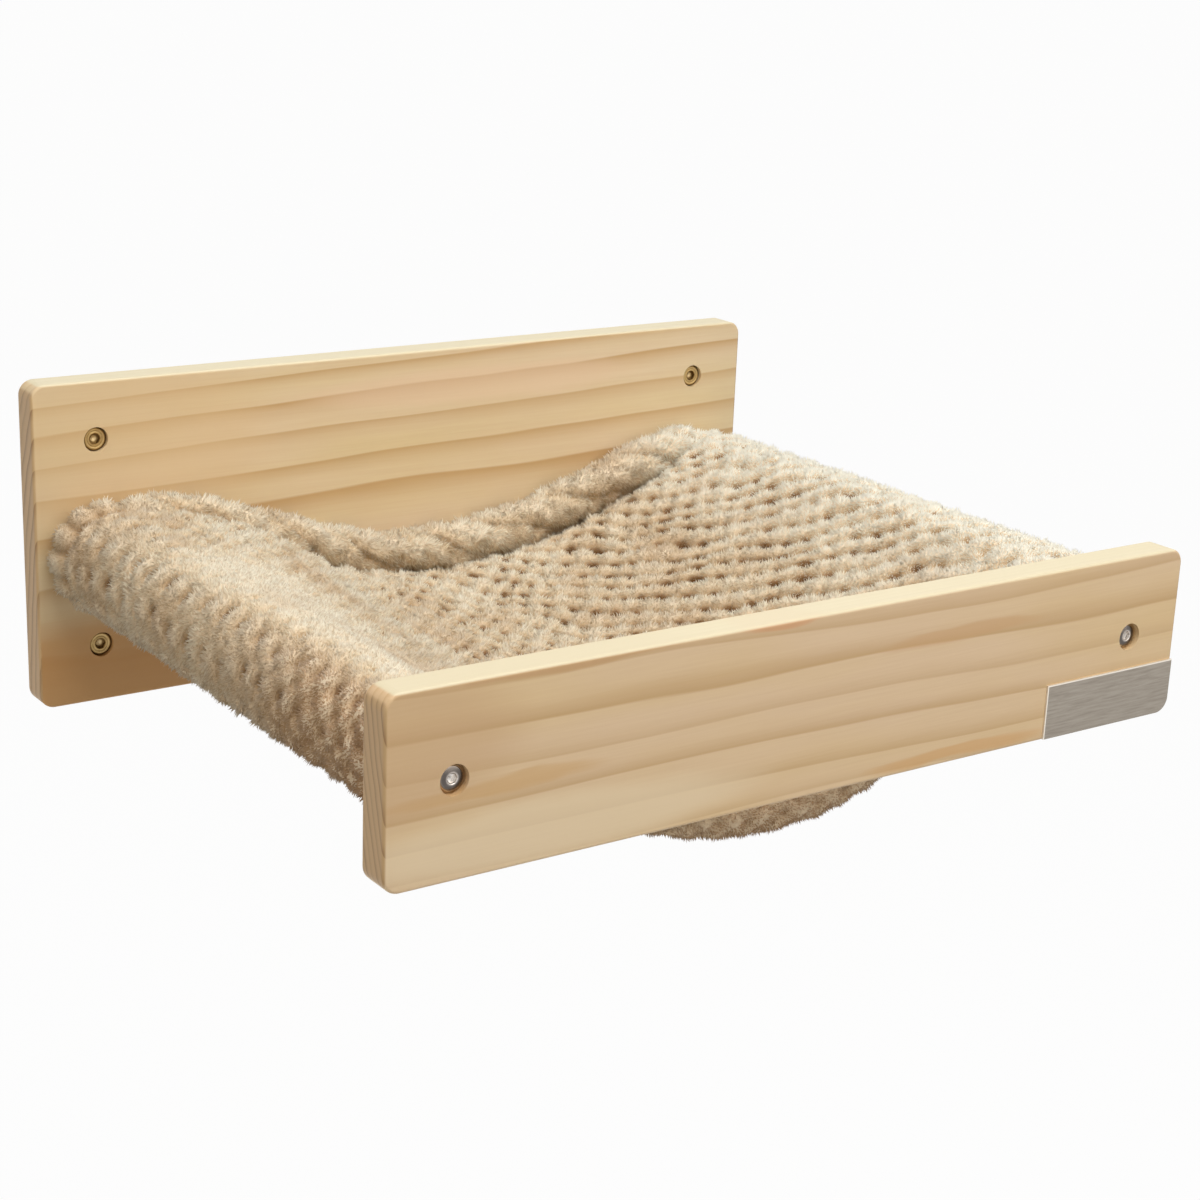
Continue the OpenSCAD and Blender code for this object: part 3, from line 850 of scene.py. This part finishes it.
# The last of these streaks is painted shade, darker towards the front face's left end
FRONT_PINE = pine_material(
    "front_pine", {"Pith Y": -1065.0, "Pith Z": 164.0, "Rise": -0.012, "Pitch": 4.0,
                   "Seed": 71.0},
    ((234, 206, 160), (236, 209, 174)), 0.75, (
        (-150, 36.5, 85, 3.2, (208, 168, 122), 0.8), (-28, 35.5, 27, 3.0, (222, 168, 122), 0.75),
        (82, 14, 55, 4.5, (214, 172, 124), 0.6), (85, -45, 62, 4.0, (222, 176, 118), 0.7),
        (-180, -12, 60, 4.0, (216, 174, 116), 0.6), (-150, -36, 120, 16, (246, 226, 192), 0.7),
        (-228, 12, 70, 34, (210, 173, 130), 0.5)), front_high[2], BOARD_END)
ROD_PINE = pine_material(
    "rod_pine", {"Pith Y": 20.0, "Pith Z": 0.0, "Rise": 0.0, "Pitch": 6.0, "Seed": 31.0},
    ((232, 206, 160), (234, 209, 174)), 0.8)
NICKEL = ((214, 211, 205), (180, 176, 170))
STEEL = metal_material("nickel_steel", NICKEL, 0.24, 400.0)
# The bolts' head rings are painted light: a bright socket floor and a bright rim are painted
# highlights, and the dark ring between them is a painted reflection of dark surroundings
HEAD_STEEL_WITH_PAINTED_LIGHT = metal_material("head_steel_with_painted_light", NICKEL, 0.2, 400.0, rings=(ROD_X, abs(ROD_Z), (
    (0.0, (150, 144, 136)), (1.2, (226, 220, 214)), (2.1, (232, 226, 220)),
    (2.7, (170, 160, 152)), (3.3, (62, 50, 44)), (4.6, (58, 46, 40)), (5.3, (112, 98, 86)),
    (5.6, (240, 230, 216)), (6.4, (222, 212, 198)))))
# The screws' head rings hold the yellow zinc face with painted light on it: a pale socket floor as
# a painted highlight, and painted shade on the socket's walls, in the turned groove and in a dark
# ring round the head's edge
YELLOW_ZINC_WITH_PAINTED_LIGHT = metal_material(
    "yellow_zinc", ((200, 176, 128), (180, 154, 106)), 0.5, 400.0, rings=(SCREW_X, SCREW_Z, (
        (0.0, (226, 206, 164)), (1.2, (214, 188, 140)), (2.0, (96, 66, 26)),
        (3.0, (124, 92, 44)), (3.5, (184, 158, 108)), (4.25, (158, 130, 82)),
        (4.9, (190, 164, 114)), (5.4, (158, 130, 80)), (5.7, (112, 82, 40)),
        (6.4, (84, 58, 26)))))
PLATE = metal_material("brushed_plate", ((160, 152, 141), (144, 136, 126)), 0.45,
                       (72.0, 900.0, 900.0), highlight_edges=(plate_low[0], plate_high[2]))
PLUSH = plush_material()
PILE = pile_material()


def dress(nodes, material):
    """Gives CAD nodes a material in every slot they have."""
    for name in nodes:
        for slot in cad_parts[name].material_slots:
            slot.material = material


ENDS = ("front", "rear")
SIDES = ("left", "right")
LEVELS = ("upper", "lower")
dress(["wall_board"], WALL_PINE)
dress(["front_board"], FRONT_PINE)
dress(["rod_left", "rod_right"], ROD_PINE)
dress([f"rod_insert_{side}_{end}" for side in SIDES for end in ENDS], STEEL)
dress(["blank_plate"], PLATE)


# The sling's pieces

# Distance between the points of the plush, and how many of them a layer's back skips
STEP = 1.5
BACK_SKIP = 6
# Depths between which the layers lie, and the upper one's thickness where it leaves a sleeve
PANEL_REAR = 21.0
PANEL_FRONT = 329.0
EDGE_T = 4.6
# Number of rows on a sleeve's round ends, on its flat ends and in its bore
ROUND_ROWS = 8
FLAT_ROWS = 3
BORE_ROWS = 9
# Rounding of a sleeve's ends, how far it is drawn in under the upper layer, and the turns, in
# degrees inwards from the top, over which that sets in and ends
SLEEVE_ROUND = 9.0
COVERED_IN = 8.0
COVERED_FROM = (1, 14)
COVERED_TO = (56, 82)
# Half the hems' length, and the number of cells round a hem
HEM_REACH = 190.0
HEM_CELLS = 4
# Height of the bubbles on the hems, as a share of the sling's
HEM_RELIEF = 0.4
# How far the hems' plush keeps off the boards
HEM_OFF = 0.4
# Share of the wisps' length where the plush is flat, and on the rear hem
FLAT_NAP = 0.45
HEM_NAP = 1.25
# Distances between the wisps of the pile
TOP_GAP = 1.16
UNDER_GAP = 1.4
SLEEVE_GAP = 1.2
HEM_GAP = 1.16


def steps_for(length, step, multiple):
    """Number of points along a length, so that the steps are a multiple of a number."""
    return int(round(length / step / multiple)) * multiple + 1


def sheet_grid(face, reach, to_right):
    """Grid of one of the sling's two plush layers: its base points, the distance s across the
    cloth, X and the depth. Rows are even steps along the rods, and columns even steps in X,
    to the right on an upper face and to the left on a lower one."""
    cols = steps_for(2 * reach, STEP, BACK_SKIP)
    rows = steps_for(PANEL_FRONT - PANEL_REAR, STEP, BACK_SKIP)
    x = np.linspace(-reach, reach, cols)
    deep = np.linspace(PANEL_REAR, PANEL_FRONT, rows)
    x, deep = np.meshgrid(x if to_right else x[::-1], deep)
    z = face(x, deep)
    s = np.zeros_like(x)
    s[:, 1:] = np.cumsum(np.hypot(np.diff(x, axis=1), np.diff(z, axis=1)), axis=1)
    return np.stack([x, WALL_FACE - deep, z], -1), s, x, deep


def raised(points, normals, height, fade, seed):
    """Moves points along their normals by the bubbles' height and a little fine noise."""
    x, y, z = np.moveaxis(points, -1, 0)
    fine = sum(up * waves(seed + i, length, x, y, z)
               for i, (up, length) in enumerate(FINE_NOISE))
    return points + normals * (BUBBLE_H * (height - BUBBLE_LEVEL) * fade + fine)[..., None]


def nap_share(fade):
    """Share of the wisps' length, less where the pile is brushed flat."""
    return FLAT_NAP + (1 - FLAT_NAP) * fade


def plush_layer(name, base, s, x, deep, fade, back, seed, gap, size):
    """One plush layer as a closed slab with its bubbles raised along the normals of the smooth
    face, and the pile that stands on it."""
    height = bubbles(s, deep, x, seed)
    front = raised(base, grid_normals(base), height, fade, seed + 10)
    # The colour's height is the bubbles' height moved by TUFT_SHADE, to paint shade on their front
    # slopes
    height = 1 - (1 - bubbles(s, deep + TUFT_SHADE, x, seed)) * fade
    points, faces = slab_between(front, back, BACK_SKIP)
    values = {"height": np.concatenate([height.ravel(), np.zeros(len(points) - height.size)])}
    piece = new_piece(name + "_plush", points, faces, PLUSH, values)
    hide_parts(name)
    pile = add_pile(name + "_pile", front, grid_normals(front), height, nap_share(fade),
                    np.ones_like(fade), seed + 20, gap, size)
    return piece, pile


def sling_top():
    """The upper layer, from the top of one sleeve to the top of the other. It is thin where
    it leaves the sleeves."""
    base, s, x, deep = sheet_grid(upper_face, ROD_X, True)
    thick = EDGE_T + (LAYER_T - SOFT_GAP - EDGE_T) * step_up(ROD_X - np.abs(x), 4, 16)
    back = base.copy()
    back[..., 2] -= thick
    between_sleeves = step_up(CLOTH_REACH - np.abs(x), *EDGE_RISE_FROM)
    base[..., 2] += EDGE_RISE * (1 - step_up(deep, PANEL_REAR, EDGE_RISE_END)) * between_sleeves
    return plush_layer("sling_top", base, s, x, deep, relief_share(x, deep), back, 21,
                       TOP_GAP, 1.0)


def sling_underside():
    """The lower layer, which meets the sleeves on their inner sides."""
    def lower_face(x, deep):
        return cloth_middle(x, deep) - LAYER_T

    base, s, x, deep = sheet_grid(lower_face, CLOTH_REACH, False)
    back = base.copy()
    back[..., 2] += LAYER_T - SOFT_GAP
    from_edge = np.minimum(deep - PANEL_REAR, PANEL_FRONT - deep)
    fade = (1 - UNDER_FLATTENED) * (0.3 + 0.7 * step_up(from_edge, 0, 10))
    return plush_layer("sling_underside", base, s, x, deep, fade, back, 121, UNDER_GAP, 0.85)


def across_length(deep):
    """Length across the sling's upper face at each depth, from sleeve top to sleeve top."""
    deep = np.clip(deep, PANEL_REAR, PANEL_FRONT)
    x, deep = np.meshgrid(np.linspace(-ROD_X, ROD_X, 400), deep)
    z = upper_face(x, deep)
    return np.hypot(np.diff(x, axis=1), np.diff(z, axis=1)).sum(1)


def sleeve(side, name, seed):
    """A plush sleeve: a closed ring of rows, out along the outer face with its round ends and
    back along the bore, turned round the rod. Under the sling's edge the outer face is drawn
    in. The turn is measured clockwise from the top, as seen from the front."""
    radius = SLEEVE_R[side]
    right, up = SLEEVE_MOVED[side]
    bend = np.linspace(0, math.pi / 2, ROUND_ROWS + 1)[:-1]
    arc_deep = END_GAP + SLEEVE_ROUND * (1 - np.cos(bend))
    arc_in = SLEEVE_ROUND * (1 - np.sin(bend))
    straight_l = DEPTH - 2 * END_GAP - 2 * SLEEVE_ROUND
    straight = END_GAP + SLEEVE_ROUND + np.linspace(0, straight_l, int(straight_l / STEP))
    deep = np.concatenate([arc_deep, straight, DEPTH - arc_deep[::-1]])
    drawn_in = np.concatenate([arc_in, np.zeros(len(straight)), arc_in[::-1]])
    outer = len(deep)
    bore = ROD_R + SOFT_GAP
    face = np.linspace(1, 0, FLAT_ROWS + 2)[1:-1]
    inner_deep = np.concatenate([np.full(FLAT_ROWS, DEPTH - END_GAP),
                                 np.linspace(DEPTH - END_GAP, END_GAP, BORE_ROWS),
                                 np.full(FLAT_ROWS, END_GAP)])
    inner_share = np.concatenate([face, np.zeros(BORE_ROWS), face[::-1]])
    all_deep = np.concatenate([deep, inner_deep])
    moved_share = np.concatenate([np.ones(outer), inner_share])
    cols = int(TURN * radius / STEP)
    start = -1.5 * math.pi if side < 0 else -0.5 * math.pi
    turn = start + np.arange(cols) * 2 * math.pi / cols
    turn, all_deep = np.meshgrid(turn, all_deep)
    face_r = CUFF_R[side] - SLEEVE_ROUND
    r = np.concatenate([
        sleeve_radius(side, all_deep[:outer]) - drawn_in[:, None],
        np.broadcast_to((bore + (face_r - bore) * inner_share)[:, None],
                        (len(inner_deep), cols))])
    inward = -side * turn * 180 / math.pi
    covered = plateau(inward, COVERED_FROM, COVERED_TO)
    from_end = np.minimum(all_deep, DEPTH - all_deep)
    covered = covered * step_up(from_end, PANEL_REAR - 1, PANEL_REAR + 2)
    r[:outer] -= COVERED_IN * covered[:outer]
    points = np.stack([side * ROD_X + right * moved_share[:, None] + r * np.sin(turn),
                       WALL_FACE - all_deep,
                       ROD_Z + up * moved_share[:, None] + r * np.cos(turn)], -1)
    normals = grid_normals(points, True, True)
    s = radius * turn
    drift = RING_DRIFT * np.maximum(-s, 0) if side < 0 else 0
    if side > 0:
        s = s + across_length(all_deep[:, 0])[:, None]
    height = bubbles(s, all_deep + drift, points[..., 0], 21)
    on_cuff = 1 - step_up(from_end, CUFF_W - 1, CUFF_W + 2)
    height = height * (1 - on_cuff) + cuff_lobes(s, from_end) * on_cuff
    fade = np.where(normals[..., 2] > 0, relief_share(points[..., 0], all_deep), 1)
    moved = points.copy()
    moved[:outer] = raised(points, normals, height, fade, 31)[:outer]
    height = 1 - (1 - height) * fade
    height[outer:] = 0
    piece = new_piece(name + "_plush", moved.reshape(-1, 3),
                      [grid_quads(*moved.shape[:2], True, True)], PLUSH,
                      {"height": height.ravel()})
    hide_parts(name)
    keep = np.where(covered > 0.3, 0.0, 1.0)[:outer]
    normals = grid_normals(moved, True, True)
    add_pile(name + "_pile", moved[:outer], normals[:outer], height[:outer],
             nap_share(fade)[:outer], keep, seed + 20, SLEEVE_GAP, 0.95, True)


def hem_bubbles(s, turn, strands, seed):
    """Height of the plush on a hem: the sling's bubbles, with a wander that closes round the
    hem, and the strands that wind unevenly round it, a power of |cos| of half their phase."""
    wide = HEM_CELLS * CELL * turn / TURN
    s = s + WANDER * waves(seed, 45, s, 20 * np.cos(turn), 20 * np.sin(turn))
    height = cushion(TURN * s / CELL, TURN * wide / CELL, 0, 0)
    uneven = STRAND_UNEVEN * waves(seed + 2, STRAND_UNEVEN_L, s)
    wound = np.abs(np.cos(math.pi * s / STRAND + STRAND_WIND * turn + uneven)) ** STRAND_ROUND
    return height, wound if strands else 1


def hem(name, middle, middle_height, hem_r, strands, seed):
    """A rolled hem: circles round the cloth's edge, square to its slope, with bubbles on it and
    its ends closed inside the cuffs. A hem with strands has lobes wound round it like a
    rope's."""
    x = np.linspace(-HEM_REACH, HEM_REACH, int(2 * HEM_REACH / STEP))
    z = middle_height(x)
    slope = np.arctan(np.gradient(z, x))
    cols = int(TURN * hem_r / STEP)
    turn = np.arange(cols) * TURN / cols
    turn, slope = np.meshgrid(turn, slope)
    x = np.broadcast_to(x[:, None], turn.shape)
    z = np.broadcast_to(z[:, None], turn.shape)
    from_end = HEM_REACH - np.abs(x)
    closing = np.sqrt(1 - (1 - np.clip(from_end / hem_r, 0, 1)) ** 2)
    along_hem = np.zeros(len(x))
    along_hem[1:] = np.cumsum(np.hypot(np.diff(x[:, 0]), np.diff(z[:, 0])))
    height, wound = hem_bubbles(along_hem[:, None], turn, strands, seed)
    r = (hem_r + STRAND_DEEP * (wound - 0.75) * strands) * np.maximum(closing, 0.05)
    up = r * np.cos(turn) * (1 + HEM_FOOT * np.maximum(-np.cos(turn), 0) * strands)
    points = np.stack([x - up * np.sin(slope),
                       WALL_FACE - middle + r * np.sin(turn),
                       z + up * np.cos(slope)], -1)
    normals = grid_normals(points, False, True)
    moved = raised(points, normals, height, closing * HEM_RELIEF, seed + 10)
    moved[..., 1] = np.clip(moved[..., 1], WALL_FACE - DEPTH + HEM_OFF, WALL_FACE - HEM_OFF)
    # Colour height with painted shade: darker in the pits, in the grooves between the strands and
    # on the hem's lower side
    height = (0.84 + 0.16 * height) * (0.47 + 0.53 * wound) * (0.9 + 0.1 * np.cos(turn))
    ends = np.array([[x[0, 0], WALL_FACE - middle, z[0, 0]],
                     [x[-1, 0], WALL_FACE - middle, z[-1, 0]]])
    piece = new_piece(name + "_plush", np.concatenate([moved.reshape(-1, 3), ends]),
                      tube_faces(len(moved), cols), PLUSH,
                      {"height": np.concatenate([height.ravel(), [0, 0]])})
    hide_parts(name)
    normals = grid_normals(moved, False, True)
    nap = np.full_like(height, HEM_NAP if strands else 1.0)
    add_pile(name + "_pile", moved, normals, height, nap, (from_end > 4).astype(float),
             seed + 20, HEM_GAP, 1.0 if strands else 0.75, True)


def sling():
    """All the plush pieces. The two layers are sheets, 0.43 m wide and 0.35 m deep when they
    lie flat, and the rest is padding."""
    top, top_pile = sling_top()
    under, under_pile = sling_underside()
    sleeve(-1, "sleeve_left", 200)
    sleeve(1, "sleeve_right", 300)
    hem("rear_hem", REAR_HEM_AT, rear_hem_middle, REAR_HEM_R, True, 400)
    hem("front_hem", FRONT_HEM_AT, front_hem_middle, FRONT_HEM_R, False, 500)


sling()


# Bolts and screws

FASTENER_COLS = 72
HEX_SIDES = 6
BOLT_SOCKET_W = 4.0
SCREW_SOCKET_W = 5.0
# How deep the heads' seats lie in the boards' faces
BOLT_SEAT = 5.0
SCREW_SEAT = 5.2
# Radius and height of a bolt head's dome, and the part of the radius it covers
DOME_R = 20.0
DOME_TOP = 3.3
DOME_FROM = 2.5
DOME_TO = 5.2
# A screw's thread: heights of its start and end, length of its point, radii of its core and
# crest, its pitch, and the distance between its rows
THREAD = (-15.0, -53.9, 9.0, 1.75, 2.5, 2.6)
THREAD_STEP = 0.35
# How far the middle points that close both ends lie behind the rows beside them
END_DEEP = 0.1


def hex_reach(turn, width):
    """Distance from a hexagon's middle to its sides, over the turn, for a width across the
    flats. Its corners lie to the left and the right."""
    sector = TURN / HEX_SIDES
    return width / 2 / np.cos(turn % sector - sector / 2)


def profile(floor, socket, outside):
    """Rows of a radius, a height and a share of the socket's hexagon, from the middle of the
    socket's floor outwards. Floor and outside are pairs of a radius and a height, and socket
    is pairs of a height and a share."""
    rows = [(r, z, 0) for r, z in floor] + [(0, z, share) for z, share in socket]
    return np.array(rows + [(r, z, 0) for r, z in outside], dtype=float)


def lathed(node, at, facing, rows, socket_w, material, thread=None):
    """A bolt or a screw that replaces a CAD node, turned from a profile whose heights count
    from the plane that the head stands on. A radius is the row's own one plus its share of the
    hexagon's. A thread adds rows whose radius rises and falls with the height and the turn
    together. The head faces the front, -1, or the wall, 1."""
    turn = np.arange(FASTENER_COLS) * TURN / FASTENER_COLS
    turn, radius = np.meshgrid(turn, rows[:, 0])
    height = np.broadcast_to(rows[:, 1:2], turn.shape)
    radius = radius + hex_reach(turn, socket_w) * rows[:, 2:]
    if thread is not None:
        start, end, point, core, crest, pitch = thread
        down = np.linspace(start, end, int((start - end) / THREAD_STEP))
        turn_t, down = np.meshgrid(turn[0], down)
        tooth = np.abs(((-down / pitch - turn_t / TURN) % 1) * 2 - 1)
        taper = np.clip((down - end) / point, 0.04, 1)
        lead = step_up(start - down, 0, 2)
        radius_t = (core + (crest - core) * lead * step_up(tooth, 0.45, 0.95)) * taper
        turn = np.concatenate([turn, turn_t])
        height = np.concatenate([height, down])
        radius = np.concatenate([radius, radius_t])
    points = np.stack([at[0] + radius * np.cos(turn), at[1] + facing * height,
                       at[2] - facing * radius * np.sin(turn)], -1)
    ends = np.array([[at[0], at[1] + facing * (height[i, 0] - END_DEEP), at[2]]
                     for i in (0, -1)])
    piece = new_piece(node + "_turned", np.concatenate([points.reshape(-1, 3), ends]),
                      tube_faces(len(points), FASTENER_COLS), material)
    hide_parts(node)


def bolts():
    """The four bolts: low domed heads with a chamfered hexagon socket, and plain shanks."""
    dome = [(r, DOME_TOP - DOME_R + math.sqrt(DOME_R ** 2 - r ** 2))
            for r in np.linspace(DOME_FROM, DOME_TO, 10)]
    rows = profile(
        [(0.4, 0.95), (1.1, 1.0)],
        [(1.1, 0.93), (1.12, 0.99), (1.3, 1), (2.0, 1), (2.68, 1), (2.74, 0.97)],
        [(2.42, 3.02)] + dome + [
            (5.5, 2.46), (5.75, 2.24), (5.93, 1.94), (6.0, 1.5), (6.0, 0.25), (5.94, 0.1),
            (5.8, 0.02), (3.4, 0.02), (3.05, 0), (3.0, -0.2), (3.0, -13), (3.0, -26.2),
            (2.4, -26.9), (0.4, -26.9)])
    for end, facing, seat in (("front", -1, FRONT_FACE + BOLT_SEAT), ("rear", 1, -BOLT_SEAT)):
        for side, place in zip(SIDES, (-1, 1)):
            lathed(f"{end}_bolt_{side}", (place * ROD_X, seat, ROD_Z), facing, rows,
                   BOLT_SOCKET_W, HEAD_STEEL_WITH_PAINTED_LIGHT)


def screws():
    """The four wall screws: flat heads with a turned groove and a hexagon socket, smooth necks
    and cut threads that end in a point."""
    rows = profile(
        [(0.4, 0.8), (1.3, 1.15)],
        [(1.35, 0.94), (1.4, 0.99), (1.6, 1), (2.4, 1), (3.1, 1), (3.18, 0.97)],
        [(3.0, 3.42), (3.1, 3.45), (3.9, 3.45), (4.05, 3.36), (4.25, 3.26), (4.45, 3.36),
         (4.6, 3.45), (5.6, 3.42), (5.95, 3.3), (6.2, 3.05), (6.3, 2.7), (6.3, 1.5),
         (6.3, 0.4), (6.2, 0.08), (6.0, 0.02), (2.1, 0.02), (1.85, 0), (1.8, -0.3),
         (1.8, -7), (1.8, -14.9)])
    for level, up in zip(LEVELS, (1, -1)):
        for side, place in zip(SIDES, (-1, 1)):
            at = (place * SCREW_X, WALL_FACE + SCREW_SEAT, up * SCREW_Z)
            lathed(f"wall_screw_{level}_{side}", at, -1, rows, SCREW_SOCKET_W, YELLOW_ZINC_WITH_PAINTED_LIGHT,
                   THREAD)


bolts()
screws()


# Camera, light and floor

# Place in metres, angles in radians, lens and sensor in millimetres
CAMERA_AT = Vector((-0.6534, -1.1282, 0.3442))
AZIMUTH = -0.6157
ELEVATION = 0.3018
ROLL = 0.0397
LENS = 68.97
SENSOR = 36.0
# What the lamps face
LIT_AT = Vector((0, -0.2, 0))


def add_camera():
    """The camera from its place and three angles: its Z axis points back from the object."""
    back = Vector((math.sin(AZIMUTH) * math.cos(ELEVATION),
                   -math.cos(AZIMUTH) * math.cos(ELEVATION), math.sin(ELEVATION)))
    level = Vector((math.cos(AZIMUTH), math.sin(AZIMUTH), 0))
    up = back.cross(level)
    right = math.cos(ROLL) * level + math.sin(ROLL) * up
    up = -math.sin(ROLL) * level + math.cos(ROLL) * up
    data = bpy.data.cameras.new("camera")
    data.lens = LENS
    data.sensor_width = SENSOR
    camera = bpy.data.objects.new("camera", data)
    scene.collection.objects.link(camera)
    turn = Matrix((right, up, back)).transposed().to_4x4()
    camera.matrix_world = Matrix.Translation(CAMERA_AT) @ turn
    scene.camera = camera


def add_lamp(name, place, size, power, colour=(1, 1, 1)):
    """A square area lamp at a place, facing the object."""
    data = bpy.data.lights.new(name, "AREA")
    data.shape = "SQUARE"
    data.size = size
    data.energy = power
    data.color = colour
    lamp = bpy.data.objects.new(name, data)
    scene.collection.objects.link(lamp)
    place = Vector(place)
    turn = (LIT_AT - place).to_track_quat("-Z", "Y").to_matrix().to_4x4()
    lamp.matrix_world = Matrix.Translation(place) @ turn


def seen_white(nodes):
    """1 for rays from the camera and for reflections and refractions, else 0."""
    path = nodes.add("ShaderNodeLightPath").outputs
    seen = nodes.math("MAXIMUM", path["Is Camera Ray"], path["Is Glossy Ray"])
    return nodes.math("MAXIMUM", seen, path["Is Transmission Ray"])


def add_world(strength, tint):
    """A plain warm sky that shows white to the camera and in reflections."""
    world = bpy.data.worlds.new("studio")
    world.use_nodes = True
    scene.world = world
    nodes = Nodes(world.node_tree)
    seen = seen_white(nodes)
    nodes.feed(world.node_tree.nodes["Background"], {
        "Color": nodes.mix(seen, tint, (1, 1, 1, 1)),
        "Strength": nodes.between(seen, 0, 1, strength, 1.0)})


def add_floor(level, half, glow_share):
    """A wide pale floor that shows white, with a faint shadow."""
    points = [(-half, -half, level), (half, -half, level), (half, half, level),
              (-half, half, level)]
    mesh = bpy.data.meshes.new("floor")
    mesh.from_pydata(points, [], [(0, 1, 2, 3)])
    floor = bpy.data.objects.new("floor", mesh)
    scene.collection.objects.link(floor)
    material, nodes, shader = new_material("pale_floor")
    nodes.feed(shader, {"Base Color": (0.7, 0.7, 0.7, 1), "Roughness": 1.0})
    glow = nodes.add("ShaderNodeEmission", {"Color": (1, 1, 1, 1), "Strength": 1.0})
    share = nodes.math("MULTIPLY", seen_white(nodes), glow_share)
    mixed = nodes.add("ShaderNodeMixShader", {0: share, 1: shader.outputs[0],
                                              2: glow.outputs[0]})
    nodes.feed(material.node_tree.nodes["Material Output"], {"Surface": mixed.outputs[0]})
    mesh.materials.append(material)


add_camera()
add_lamp("key", (0.0, -0.7, 1.5), size=1.5, power=27)
add_lamp("front_fill", (0.9, -2.1, 0.6), size=1.6, power=10.5, colour=(1, 0.95, 0.87))
add_lamp("left_fill", (-1.8, -0.5, 0.15), size=1.2, power=6.2, colour=(1, 0.94, 0.84))
add_world(strength=0.19, tint=(1, 0.87, 0.7, 1))
add_floor(level=-0.8, half=30, glow_share=0.97)
